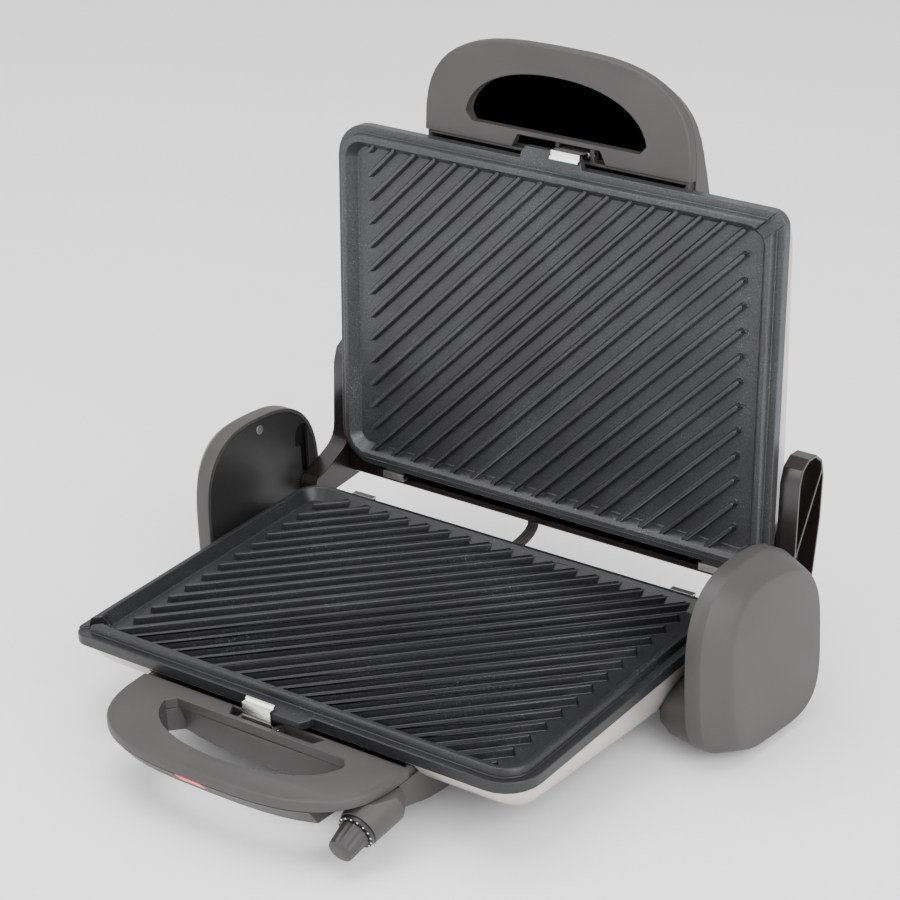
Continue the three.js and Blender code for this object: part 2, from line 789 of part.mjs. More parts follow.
function heatingElement() {
  const side = HALF_WIDTH - ELEMENT_INSET_X;
  const back = PLATE_DEPTH - ELEMENT_BACK_INSET;
  const leg = PLATE_DEPTH - TRAY_INSET - 12;
  const corners = [
    [ELEMENT_LEG_X, leg],
    [ELEMENT_LEG_X, back - ELEMENT_BEND],
    [side, back - ELEMENT_BEND],
    [side, ELEMENT_FRONT],
    [-side, ELEMENT_FRONT],
    [-side, back - ELEMENT_BEND],
    [-ELEMENT_LEG_X, back - ELEMENT_BEND],
    [-ELEMENT_LEG_X, leg],
  ].map(([x, y]) => new THREE.Vector3(x, y, -ELEMENT_DROP));
  return solid(bentTube(corners, ELEMENT_RADIUS, ELEMENT_BEND * 0.8, 6, 72));
}

// ---------------------------------------------------------------- handles
function underside(handle, raise) {
  const spine = new THREE.SplineCurve(
    handle.underside.map(([y, drop]) => new THREE.Vector2(y, raise - drop)),
  );
  const outline = spine.getPoints(12);
  const floor = -3 * HANDLE_DEEPEST;
  outline.push(new THREE.Vector2(outline[12].x - HANDLE_REACH, outline[12].y));
  outline.push(new THREE.Vector2(outline[12].x - HANDLE_REACH, floor));
  outline.push(new THREE.Vector2(outline[0].x + HANDLE_ROOT, floor));
  outline.push(new THREE.Vector2(outline[0].x + HANDLE_ROOT, outline[0].y));
  return solid(alongX(prism(outline, -2 * HANDLE_HALF_WIDTH, 2 * HANDLE_HALF_WIDTH)));
}

function handleBody(handle, inset, back) {
  const rows = [...HANDLE_PROFILE].reverse();
  const outlines = rows.map(([, side, front]) =>
    handleOutline(handle, side + inset, front + inset, back),
  );
  return solid(lofted(outlines, rows.map(([drop]) => -drop)));
}

function fingerTunnel(handle, inset) {
  return solid(
    lofted(
      [
        fingerOutline(handle, 2 + inset, handle.belly),
        fingerOutline(handle, 1 + inset, handle.belly),
        fingerOutline(handle, inset, handle.belly * 0.15),
        fingerOutline(handle, inset, 0),
      ],
      [-HANDLE_DEEPEST, -30, -HANDLE_PARTING_DROP, FUSE - HANDLE_FACE_DROP],
    ),
  );
}

// Space that the handle's foot takes out of the tray and its cover.
function handleRootSpace(handle) {
  const outline = handleOutline(handle, -GAP, -GAP, HANDLE_ROOT + GAP);
  return solid(prism(outline, -2 * HANDLE_DEEPEST, GAP - ROOT_TOP_DROP));
}

function clipCheeks() {
  const low = -CLIP_PIN_DROP - 3.5;
  const high = -ROOT_TOP_DROP;
  const inner = CLIP_WIDTH / 2 + 1;
  const sides = [
    [CLIP_X - inner - CHEEK_THICKNESS, CLIP_X - inner],
    [CLIP_X + inner, CLIP_X + inner + CHEEK_THICKNESS],
  ];
  return sides.map(([x0, x1]) => box(x0, x1, -NOTCH_BACK + GAP, FUSE - HANDLE_BACK, low, high));
}

function clipPinHole() {
  const reach = CLIP_WIDTH / 2 + 1 + 2 * CHEEK_THICKNESS;
  const radius = CLIP_PIN_RADIUS + GAP;
  return cylinderAlongX(radius, CLIP_X - reach, CLIP_X + reach, CLIP_PIN_Y, -CLIP_PIN_DROP, 12);
}

function handleHollow(handle) {
  const inner = handleBody(handle, HANDLE_WALL, HANDLE_ROOT - HANDLE_WALL);
  const upper = prism(
    roundedRectangle(
      handle.x + HANDLE_WALL - ROOT_HALF_WIDTH,
      handle.x + ROOT_HALF_WIDTH - HANDLE_WALL,
      -HANDLE_BACK,
      HANDLE_ROOT - HANDLE_WALL,
      [1, 1, 1, 1],
    ),
    -HANDLE_PARTING_DROP - 2,
    FUSE - ROOT_TOP_DROP,
  );
  const mouth = handleOutline(handle, HANDLE_WALL, HANDLE_WALL, FUSE);
  const crossWall = box(
    -2 * HANDLE_HALF_WIDTH,
    2 * HANDLE_HALF_WIDTH,
    -HANDLE_BACK - 0.5,
    2 - HANDLE_BACK,
    -2 * HANDLE_DEEPEST,
    0,
  );
  return cut(
    joined(inner, solid(upper), solid(prism(mouth, -HANDLE_PARTING_DROP - 2, 0))),
    crossWall,
    underside(handle, HANDLE_WALL),
    fingerTunnel(handle, -HANDLE_WALL),
  );
}

// Deep shell of a handle. The base one also has the knob's bay and boss and the lens window.
function deepShell(handle) {
  const foot = box(
    handle.x - ROOT_HALF_WIDTH,
    handle.x + ROOT_HALF_WIDTH,
    GAP - HANDLE_BACK,
    HANDLE_ROOT,
    -HANDLE_PARTING_DROP - FUSE,
    -ROOT_TOP_DROP,
  );
  const outer = cut(joined(handleBody(handle, 0, HANDLE_ROOT), foot), underside(handle, 0));
  const tunnel = fingerTunnel(handle, 0);
  if (!handle.controls) {
    const shell = cut(outer, handleHollow(handle), tunnel);
    return cut(joined(shell, ...clipCheeks()), clipPinHole());
  }
  const boss = knobBoss();
  const hollow = cut(handleHollow(handle), knobBay(HANDLE_WALL), boss);
  const shell = cut(outer, knobBay(0), hollow, tunnel);
  const bores = [knobBore(), thermostatSpace(), clipPinHole(), lensWindow(GAP)];
  return cut(joined(shell, boss, ...clipCheeks()), ...bores);
}

function faceShell(handle) {
  const rows = [
    [HANDLE_PARTING_DROP, 0],
    [HANDLE_FACE_DROP + 2, 0],
    [HANDLE_FACE_DROP + 0.6, 0.5],
    [HANDLE_FACE_DROP, 1.4],
  ];
  const outer = solid(
    lofted(
      rows.map(([, inset]) => handleOutline(handle, inset, inset, -HANDLE_BACK + 1e-3)),
      rows.map(([drop]) => -drop),
    ),
  );
  const notch = (grow) => {
    const outline = [
      new THREE.Vector2(-NOTCH_HALF_WIDTH - 4 - grow, FUSE),
      new THREE.Vector2(-NOTCH_HALF_WIDTH - 4 - grow, -HANDLE_BACK - FUSE),
      new THREE.Vector2(-NOTCH_HALF_WIDTH - grow, -NOTCH_BACK - grow),
      new THREE.Vector2(NOTCH_HALF_WIDTH + grow, -NOTCH_BACK - grow),
      new THREE.Vector2(NOTCH_HALF_WIDTH + 4 + grow, -HANDLE_BACK - FUSE),
      new THREE.Vector2(NOTCH_HALF_WIDTH + 4 + grow, FUSE),
    ];
    return solid(prism(outline, -HANDLE_PARTING_DROP - 1, 0));
  };
  const pocket = prism(
    handleOutline(handle, HANDLE_WALL, HANDLE_WALL, -HANDLE_BACK - HANDLE_WALL),
    -HANDLE_PARTING_DROP - FUSE,
    -HANDLE_FACE_DROP - HANDLE_WALL,
  );
  const straight = { ...handle, belly: 0 };
  const hollow = cut(solid(pocket), notch(HANDLE_WALL), fingerTunnel(straight, -HANDLE_WALL));
  return cut(outer, notch(0), hollow, fingerTunnel(straight, 0));
}

// ---------------------------------------------------------------- knob, lamp and thermostat
// Places a geometry drawn about the knob's axis, with +Z out towards the front.
function onKnobAxis(geometry) {
  geometry.rotateX(Math.PI / 2 + THREE.MathUtils.degToRad(KNOB_TILT_DEG));
  return geometry.translate(KNOB_X, KNOB_Y, -KNOB_DROP);
}

function knobBoss() {
  const profile = [
    [0, -BOSS_LENGTH],
    [BOSS_FOOT_RADIUS - 4, -BOSS_LENGTH],
    [BOSS_FOOT_RADIUS, -BOSS_LENGTH + 8],
    [BOSS_RADIUS, 0],
    [0, 0],
  ];
  const above = box(0, 2 * KNOB_X, -HANDLE_REACH, 0, -HANDLE_PARTING_DROP - GAP, 0);
  return cut(solid(onKnobAxis(turned(profile))), above);
}

// Room for the thermostat's body behind the boss's front wall.
function thermostatSpace() {
  const radius = THERMOSTAT_RADIUS + GAP;
  return solid(onKnobAxis(cylinderAlongZ(radius, -BOSS_LENGTH - 1, -HANDLE_WALL)));
}

function knobBore() {
  return solid(onKnobAxis(cylinderAlongZ(SHAFT_RADIUS + GAP, -BOSS_LENGTH, FUSE)));
}

function knobBay(wall) {
  const deep = BAY_DEPTH + wall;
  const geometry = new THREE.BoxGeometry(BAY_WIDTH + wall, 6 * DIAL_RADIUS, 2 * deep);
  geometry.translate((BAY_WIDTH - wall) / 2 - BAY_INNER, 0, 0);
  return solid(onKnobAxis(geometry));
}

function knob() {
  const outline = (radius, depth) => {
    const points = [];
    const steps = 4 * KNOB_FLUTES;
    for (let i = 0; i < steps; i += 1) {
      const angle = (i / steps) * 2 * Math.PI;
      const wave = (depth / 2) * (1 - Math.cos(KNOB_FLUTES * angle));
      const r = radius - wave;
      points.push(new THREE.Vector2(r * Math.cos(angle), r * Math.sin(angle)));
    }
    return points;
  };
  const foot = DIAL_THICKNESS + 2 * GAP;
  const barrel = lofted(
    [
      outline(KNOB_RADIUS, KNOB_FLUTE_DEPTH),
      outline(KNOB_TIP_RADIUS, KNOB_FLUTE_DEPTH),
      outline(KNOB_TIP_RADIUS * 0.93, 0),
      outline(KNOB_TIP_RADIUS * 0.6, 0),
    ],
    [foot, foot + KNOB_LENGTH - 3, foot + KNOB_LENGTH - 1, foot + KNOB_LENGTH],
  );
  const bore = cylinderAlongZ(SHAFT_RADIUS + GAP, 0, foot + KNOB_LENGTH - 4);
  return cut(solid(onKnobAxis(barrel)), solid(onKnobAxis(bore)));
}

function knobShaft() {
  const tip = DIAL_THICKNESS + KNOB_LENGTH - 4;
  return solid(onKnobAxis(cylinderAlongZ(SHAFT_RADIUS, -HANDLE_WALL - 1, tip)));
}

function dialRing() {
  const ring = onKnobAxis(cylinderAlongZ(DIAL_RADIUS, GAP, GAP + DIAL_THICKNESS, 2 * ROUND_SIDES));
  const bore = onKnobAxis(cylinderAlongZ(SHAFT_RADIUS + GAP, 0, 2 * DIAL_THICKNESS));
  return cut(solid(ring), solid(bore));
}

function thermostat() {
  const front = -HANDLE_WALL - 2 * GAP - 2;
  return solid(
    onKnobAxis(cylinderAlongZ(THERMOSTAT_RADIUS, front - THERMOSTAT_LENGTH, front)),
  );
}

function lensWindow(clearance) {
  const half = LENS_WIDTH / 2 + clearance;
  const top = -HANDLE_PARTING_DROP - 2 * GAP + clearance;
  const low = top - LENS_HEIGHT - 2 * clearance;
  return box(LENS_X - half, LENS_X + half, -2 * HANDLE_REACH, -HANDLE_REACH + 8, low, top);
}

function lens() {
  const skin = handleBody(BASE_HANDLE, LENS_DEPTH, HANDLE_ROOT);
  const body = cut(handleBody(BASE_HANDLE, 0, HANDLE_ROOT), skin);
  return lensWindow(0).intersect(body);
}

function neonLamp() {
  const y = -HANDLE_REACH + LENS_DEPTH + LAMP_RADIUS + 7;
  const z = -HANDLE_PARTING_DROP - LENS_HEIGHT / 2 - 1;
  const x0 = LENS_X - LAMP_LENGTH / 2;
  return cylinderAlongX(LAMP_RADIUS, x0, x0 + LAMP_LENGTH, y, z, 12);
}

// ---------------------------------------------------------------- clip
// A sprung strip on a pin. Its rolled lip reaches over the plate's tongue and holds it down.
function clip() {
  const x0 = CLIP_X - CLIP_WIDTH / 2;
  const x1 = CLIP_X + CLIP_WIDTH / 2;
  const eyeRadius = CLIP_PIN_RADIUS + GAP + CLIP_EYE_WALL;
  const front = -TONGUE_LENGTH - GAP - CLIP_SHEET;
  const lipLow = GAP - STEP_DROP;
  const lipBack = front + CLIP_SHEET + CLIP_LIP;
  const eye = cylinderAlongX(eyeRadius, x0, x1, CLIP_PIN_Y, -CLIP_PIN_DROP);
  const strip = box(x0, x1, front, front + CLIP_SHEET, -CLIP_PIN_DROP, lipLow + CLIP_SHEET);
  const lip = box(x0, x1, front, lipBack, lipLow, lipLow + CLIP_SHEET);
  const roll = cylinderAlongX(
    CLIP_ROLL_RADIUS,
    x0,
    x1,
    lipBack,
    lipLow + CLIP_ROLL_RADIUS,
    16,
  );
  const bore = cylinderAlongX(
    CLIP_PIN_RADIUS + GAP,
    x0 - 1,
    x1 + 1,
    CLIP_PIN_Y,
    -CLIP_PIN_DROP,
    16,
  );
  return cut(joined(eye, strip, lip, roll), bore);
}

function clipPin() {
  const reach = CLIP_WIDTH / 2 + 1 + CHEEK_THICKNESS;
  return cylinderAlongX(
    CLIP_PIN_RADIUS,
    CLIP_X - reach,
    CLIP_X + reach,
    CLIP_PIN_Y,
    -CLIP_PIN_DROP,
    16,
  );
}

// Steel hook behind the plate: it rises past the lug and reaches forward over its end.
function rearHook(x) {
  const lugTop = -STEP_DROP - LUG_THICKNESS;
  const lugBack = PLATE_DEPTH + LUG_LENGTH;
  const upright = lugBack + 1;
  const lipHigh = lugTop + GAP + HOOK_SHEET;
  const x0 = x - HOOK_WIDTH / 2;
  const x1 = x + HOOK_WIDTH / 2;
  const foot = -FLANGE_DEPTH - 10;
  const back = box(x0, x1, upright, upright + HOOK_SHEET, foot, lipHigh);
  const lip = box(x0, x1, lugBack - 2.2, upright + FUSE, lipHigh - HOOK_SHEET, lipHigh);
  const shelf = box(x0, x1, PLATE_DEPTH - TRAY_INSET + GAP, upright + FUSE, foot, foot + HOOK_SHEET);
  return joined(back, lip, shelf);
}

// ---------------------------------------------------------------- pods and hinge
// Distance of a pod's outer face from the middle: it leans in towards the front and the top.
function podFaceX(share, deeper) {
  return (point) => {
    const lean = POD_FACE_LEAN * (point.x - POD_Y) - POD_FACE_RAKE * (point.y + POD_MIDDLE_DROP);
    const band = POD_INNER_X + POD_BAND;
    return band + share * (POD_WIDTH - POD_BAND + lean) - deeper;
  };
}

function podBody(inset, deeper) {
  const rows = [
    [0, 0],
    [0.12, 0.03],
    [0.8, 0.72],
    [0.95, 0.92],
    [1, 1.08],
  ];
  const outlines = rows.map(([, bevel]) => podOutline(inset, bevel));
  const heights = rows.map(([share]) => podFaceX(share, deeper));
  return solid(alongX(lofted([podOutline(inset), ...outlines], [POD_INNER_X, ...heights])));
}

function podShell() {
  const outer = podBody(0, 0);
  const inner = podBody(POD_WALL, POD_WALL);
  const mouth = alongX(prism(podOutline(POD_WALL), POD_INNER_X - 1, POD_INNER_X + 1));
  const post = cylinderAlongX(
    SCREW_HEAD_RADIUS + 1.4,
    POD_COVER_OUTER_X + GAP,
    POD_OUTER_X - POD_WALL - 2,
    POD_SCREW_Y,
    POD_SCREW_Z,
  );
  const bore = cylinderAlongX(
    SCREW_RADIUS + GAP,
    POD_INNER_X,
    POD_INNER_X + SCREW_LENGTH + 3,
    POD_SCREW_Y,
    POD_SCREW_Z,
    12,
  );
  return cut(joined(cut(outer, inner, solid(mouth)), post.intersect(outer)), bore);
}

function slotOutline() {
  const half = PIN_RADIUS + PIN_CLEARANCE;
  const back = HINGE_Y + half;
  const front = HINGE_Y - half;
  const headFront = HINGE_Y - SLOT_HEAD_FRONT;
  const low = -HINGE_DROP - half;
  const headLow = HINGE_LIFT - SLOT_HEAD_FOOT - HINGE_DROP;
  const headHigh = HINGE_LIFT + SLOT_HEAD_ROOM - HINGE_DROP;
  const shape = new THREE.Shape();
  shape.moveTo(back, low + half);
  shape.lineTo(back, headHigh - 5);
  shape.quadraticCurveTo(back, headHigh, back - 5, headHigh);
  shape.quadraticCurveTo(headFront, headHigh, headFront, headHigh - 8);
  shape.lineTo(headFront, headLow);
  shape.lineTo(front, headLow - 1);
  shape.lineTo(front, low + half);
  shape.absarc(HINGE_Y, low + half, half, Math.PI, 2 * Math.PI, false);
  return shape;
}

function podInnerCover() {
  const plate = solid(
    alongX(prism(podOutline(POD_WALL + GAP), POD_INNER_X + GAP, POD_COVER_OUTER_X)),
  );
  const slot = new THREE.ExtrudeGeometry(slotOutline(), {
    depth: POD_WALL + 4,
    curveSegments: 5,
    bevelEnabled: false,
  });
  const slotSolid = solid(alongX(slot).translate(POD_INNER_X - 1, 0, 0));
  const sink = cylinderAlongX(
    SCREW_HEAD_RADIUS + GAP,
    POD_INNER_X - 1,
    POD_INNER_X + GAP + SCREW_HEAD_HEIGHT,
    POD_SCREW_Y,
    POD_SCREW_Z,
    16,
  );
  const bore = cylinderAlongX(
    SCREW_RADIUS + GAP,
    POD_INNER_X,
    POD_COVER_OUTER_X + 1,
    POD_SCREW_Y,
    POD_SCREW_Z,
    12,
  );
  return cut(plate, slotSolid, sink, bore);
}

function podScrew() {
  const x0 = POD_INNER_X + GAP;
  const head = cylinderAlongX(
    SCREW_HEAD_RADIUS,
    x0,
    x0 + SCREW_HEAD_HEIGHT - GAP,
    POD_SCREW_Y,
    POD_SCREW_Z,
    16,
  );
  const shank = cylinderAlongX(SCREW_RADIUS, x0, x0 + SCREW_LENGTH, POD_SCREW_Y, POD_SCREW_Z, 12);
  return joined(head, shank);
}

// The neck carries a pod on the side of the tray.
function podNeck() {
  const outline = (inset) =>
    rounded(
      { y: POD_Y - NECK_AHEAD_OF_POD, z: -NECK_DROP },
      { depth: NECK_HALF_DEPTH, above: NECK_HALF_HEIGHT, below: NECK_HALF_HEIGHT },
      { above: POD_ROUNDNESS, below: POD_ROUNDNESS },
      0,
      { front: inset, back: inset, top: inset, bottom: inset },
    );
  const body = lofted(
    [outline(14), outline(6), outline(2), outline(0)],
    [NECK_INNER_X, NECK_INNER_X + 5, NECK_INNER_X + 13, POD_INNER_X - GAP],
  );
  return cut(solid(alongX(body)), shellSolid(BASE_TRAY, GAP));
}

function hingePin() {
  const x0 = ARM_INNER_X + 1;
  const x1 = SLIDER_X + SLIDER_WIDTH + 1;
  return cylinderAlongX(PIN_RADIUS, x0, x1, HINGE_Y, -HINGE_DROP);
}

function slider() {
  const block = box(
    SLIDER_X,
    SLIDER_X + SLIDER_WIDTH,
    HINGE_Y - SLIDER_HALF_DEPTH,
    HINGE_Y + SLIDER_HALF_DEPTH,
    -HINGE_DROP - SLIDER_HALF_HEIGHT,
    -HINGE_DROP + SLIDER_HALF_HEIGHT,
  );
  const bore = cylinderAlongX(
    PIN_RADIUS + GAP,
    SLIDER_X - 1,
    SLIDER_X + SLIDER_WIDTH + 2,
    HINGE_Y,
    -HINGE_DROP,
  );
  return cut(block, bore);
}

// Rubber pad under a pod, cut to the pod's round underside.
function rearPad() {
  const x0 = POD_INNER_X + 3;
  const y0 = POD_Y - 2;
  const block = box(x0, x0 + PAD_WIDTH, y0, y0 + PAD_LENGTH, -2 * RIM_HEIGHT, -POD_MIDDLE_DROP - 48);
  return cut(block, podBody(-GAP, -GAP), podCoverSpace(), belowTable());
}

// Everything under the table's top, as seen from the tilted half frame.
function belowTable() {
  const geometry = new THREE.BoxGeometry(1000, 1000, 200);
  geometry.translate(0, 0, -100 - RIM_HEIGHT);
  return solid(geometry.rotateX(-THREE.MathUtils.degToRad(TILT_DEG)));
}

function podCoverSpace() {
  return solid(alongX(prism(podOutline(-GAP), POD_INNER_X, POD_INNER_X + POD_BAND)));
}

function frontFoot(x) {
  const column = cylinderAlongZ(FOOT_RADIUS, -2 * RIM_HEIGHT, -HANDLE_PARTING_DROP);
  const above = cut(
    box(-HALF_WIDTH, HALF_WIDTH, -HANDLE_REACH, 2 * HANDLE_ROOT, -HANDLE_DEEPEST, 0),
    underside(BASE_HANDLE, -GAP),
  );
  return cut(solid(column.translate(x, FOOT_Y, 0)), above, belowTable());
}

function coverScrew([x, y]) {
  const low = floorHeight(x, y) - COVER_THICKNESS - 3 * GAP;
  const head = cylinderAlongZ(SCREW_HEAD_RADIUS, low - SCREW_HEAD_HEIGHT, low, 16);
  const shank = cylinderAlongZ(SCREW_RADIUS, low - FUSE, low + SCREW_LENGTH, 12);
  return joined(solid(head.translate(x, y, 0)), solid(shank.translate(x, y, 0)));
}

// ---------------------------------------------------------------- lid arms and spine
// Arm outline in the lid's half frame, (y, z): up the lid from the hinge, and back from the rim.
function armOutline() {
  const at = (rise, back) => [PLATE_DEPTH - rise, -back];
  const boss = { rise: -HINGE_BACK, back: -RIM_LID_Z };
  const shape = new THREE.Shape();
  shape.moveTo(...at(boss.rise + ARM_BOSS_RADIUS - 0.6, boss.back - 2));
  shape.lineTo(...at(2.5, 2));
  shape.quadraticCurveTo(...at(7, 12.5), ...at(18, 12.5));
  shape.lineTo(...at(60, 13.5));
  shape.bezierCurveTo(...at(79, 13.5), ...at(81, 43.5), ...at(57, 44));
  shape.lineTo(...at(30, 43));
  shape.lineTo(...at(-4, 37.5));
  shape.quadraticCurveTo(...at(-17, 35.5), ...at(-19, 22));
  shape.lineTo(...at(boss.rise - ARM_BOSS_RADIUS + 0.2, boss.back + 1));
  return shape.getPoints(5);
}

function arm() {
  let outline = armOutline();
  if (THREE.ShapeUtils.isClockWise(outline)) outline = outline.reverse();
  const outer = solid(alongX(prism(outline, ARM_INNER_X, ARM_OUTER_X)));
  const boss = (radius, x0, x1) => cylinderAlongX(radius, x0, x1, HINGE_Y, RIM_LID_Z);
  const hollow = cut(
    solid(
      alongX(
        prism(movedIn(outline, ARM_RIM_WALL), ARM_INNER_X + ARM_BOTTOM_WALL, ARM_OUTER_X + 1),
      ),
    ),
    boss(ARM_BOSS_RADIUS, ARM_INNER_X, ARM_OUTER_X + 2),
    armWeb(),
  );
  const body = joined(outer, boss(ARM_BOSS_RADIUS, ARM_INNER_X, ARM_OUTER_X));
  return cut(body, hollow, boss(PIN_RADIUS + GAP, ARM_INNER_X + 0.8, ARM_OUTER_X + 1));
}

// Slanting web across the arm's open side.
function armWeb() {
  const half = ARM_WEB / 2;
  const lowEnd = new THREE.Vector2(PLATE_DEPTH - 14, -14);
  const highEnd = new THREE.Vector2(PLATE_DEPTH - 62, -42);
  const along = highEnd.clone().sub(lowEnd).normalize();
  const across = new THREE.Vector2(-along.y, along.x).multiplyScalar(half);
  const outline = [
    lowEnd.clone().sub(across),
    highEnd.clone().sub(across),
    highEnd.clone().add(across),
    lowEnd.clone().add(across),
  ];
  return solid(alongX(prism(outline, ARM_INNER_X, ARM_OUTER_X + 2)));
}

function spineOutline(inset) {
  const front = FLANGE_DEPTH + 0.6 + inset;
  const back = SPINE_TOP - inset;
  const rear = PLATE_DEPTH + SPINE_REACH - inset;
  const run = PLATE_DEPTH - SPINE_RUN_IN - inset;
  const shape = new THREE.Shape();
  shape.moveTo(run, -front);
  shape.lineTo(run, -back);
  shape.lineTo(rear - 12, -back);
  shape.quadraticCurveTo(rear, -back, rear, -back + 14);
  shape.lineTo(rear, -front - 2);
  shape.quadraticCurveTo(rear, -front, rear - 2, -front);
  return shape.getPoints(4);
}

function lidSpine() {
  const half = ARM_INNER_X - GAP;
  const outer = solid(alongX(prism(spineOutline(0), -half, half)));
  const inner = solid(alongX(prism(spineOutline(SPINE_WALL), SPINE_WALL - half, half - SPINE_WALL)));
  const leadHole = cylinderAlongY(
    LEAD_RADIUS + 2 * GAP,
    PLATE_DEPTH,
    PLATE_DEPTH + 2 * SPINE_REACH,
    -LEAD_X,
    -LEAD_SPINE_DEPTH,
  );
  const housing = shellSolid(LID_TRAY, GAP);
  const aboveHousing = box(-HALF_WIDTH, HALF_WIDTH, 0, PLATE_DEPTH - 2, -FLANGE_DEPTH - 9, 0);
  const hookSpaces = [LUG_X, -LUG_X].map((x) =>
    box(
      x - HOOK_WIDTH / 2 - GAP,
      x + HOOK_WIDTH / 2 + GAP,
      PLATE_DEPTH - TRAY_INSET,
      PLATE_DEPTH + LUG_LENGTH + 1 + HOOK_SHEET + GAP,
      -FLANGE_DEPTH - 10 - GAP,
      0,
    ),
  );
  return cut(outer, inner, housing, aboveHousing, leadHole, ...hookSpaces);
}

// ---------------------------------------------------------------- lead, inlet, terminals
// Braided heater lead, in the base's half frame, from the tray's back wall up into the spine.
function heaterLead(spineMouth) {
  const start = PLATE_DEPTH - 9;
  const points = [
    [start, -LEAD_DROP],
    [start + 12, -LEAD_DROP - 0.5],
    [HINGE_Y + 8, -LEAD_DROP - 6],
    [HINGE_Y + 28, -LEAD_DROP - 8],
    [spineMouth.y - 1.5, spineMouth.z - 12],
    [spineMouth.y, spineMouth.z - 3],
    [spineMouth.y + 0.4, spineMouth.z + 6],
  ].map(([y, z]) => new THREE.Vector3(LEAD_X, y, z));
  const path = new THREE.CatmullRomCurve3(points, false, "centripetal");
  const section = new THREE.Shape();
  for (let i = 0; i < LEAD_SIDES; i += 1) {
    const angle = (i / LEAD_SIDES) * 2 * Math.PI;
    const point = [LEAD_RADIUS * Math.cos(angle), LEAD_RADIUS * Math.sin(angle)];
    if (i === 0) section.moveTo(...point);
    else section.lineTo(...point);
  }
  const options = { steps: 30, bevelEnabled: false, extrudePath: path };
  return solid(new THREE.ExtrudeGeometry(section, options));
}

function inletBushing() {
  const wall = PLATE_DEPTH - 15;
  const neck = cylinderAlongY(INLET_RADIUS, wall, PLATE_DEPTH - 1, INLET_X, -INLET_DROP);
  const flange = cylinderAlongY(
    INLET_FLANGE_RADIUS,
    PLATE_DEPTH - 2,
    PLATE_DEPTH,
    INLET_X,
    -INLET_DROP,
  );
  const bore = cylinderAlongY(INLET_BORE_RADIUS, wall - 1, PLATE_DEPTH + 1, INLET_X, -INLET_DROP);
  return cut(joined(neck, flange), bore);
}

function terminalBlock() {
  const y0 = PLATE_DEPTH - 58;
  const x0 = INLET_X - 16;
  const low = floorHeight(x0, y0);
  const block = box(x0, x0 + 32, y0, y0 + 18, low, low + 11);
  const holes = [4, 16, 28].map((step) =>
    cylinderAlongY(2.2, y0 - 1, y0 + 19, x0 + step, low + 5, 8),
  );
  return cut(block, ...holes);
}

// ---------------------------------------------------------------- scene graph
function add(group, name, body, look) {
  const geometry = geometryOf(body);
  geometry.computeVertexNormals();
  const mesh = new THREE.Mesh(geometry, new THREE.MeshStandardMaterial(look));
  mesh.name = name;
  group.add(mesh);
}

function buildBase(group, spineMouth) {
  const handleRoot = handleRootSpace(BASE_HANDLE);
  add(group, "base_housing", baseHousing(handleRoot), METALLIC_PAINT);
  add(group, "base_bottom_cover", bottomCover(handleRoot), BLACK_PLASTIC);
  coverScrewPlaces().forEach((place, i) => {
    add(group, `base_cover_screw_${i + 1}`, coverScrew(place), STEEL);
  });
  add(group, "base_handle_top_shell", faceShell(BASE_HANDLE), DARK_PLASTIC);
  add(group, "base_handle_lower_shell", deepShell(BASE_HANDLE), DARK_PLASTIC);
  add(group, "indicator_lens", lens(), RED_LENS);
  add(group, "indicator_lamp", neonLamp(), LAMP_GLASS);
  add(group, "dial_ring", dialRing(), BLACK_PLASTIC);
  add(group, "thermostat_body", thermostat(), STEEL);
  add(group, "thermostat_knob", knob(), DARK_PLASTIC);
  add(group, "thermostat_shaft", knobShaft(), STEEL);
  add(group, "lower_grill_plate", grillPlate(), CAST_COATING);
  add(group, "lower_heating_element", heatingElement(), STEEL);
  add(group, "lower_reflector", reflectorPan(), STEEL);
  add(group, "lower_clip", clip(), CHROME);
  add(group, "lower_clip_pin", clipPin(), STEEL);
  add(group, "lower_hook_left", rearHook(-LUG_X), STEEL);
  add(group, "lower_hook_right", rearHook(LUG_X), STEEL);
  add(group, "terminal_block", terminalBlock(), CERAMIC);
  add(group, "mains_inlet_bushing", inletBushing(), BLACK_PLASTIC);
  add(group, "heater_lead", heaterLead(spineMouth), BRAID);
  for (const [word, side] of [["left", -1], ["right", 1]]) {
    add(group, `pod_neck_${word}`, onSide(side, podNeck()), DARK_PLASTIC);
    add(group, `pod_shell_${word}`, onSide(side, podShell()), DARK_PLASTIC);
    add(group, `pod_inner_cover_${word}`, onSide(side, podInnerCover()), BLACK_PLASTIC);
    add(group, `pod_screw_${word}`, onSide(side, podScrew()), STEEL);
    add(group, `hinge_pin_${word}`, onSide(side, hingePin()), STEEL);
    add(group, `hinge_slider_${word}`, onSide(side, slider()), BLACK_PLASTIC);
    add(group, `foot_front_${word}`, frontFoot(side * FOOT_X), RUBBER);
    add(group, `foot_rear_${word}`, onSide(side, rearPad()), RUBBER);
  }
}

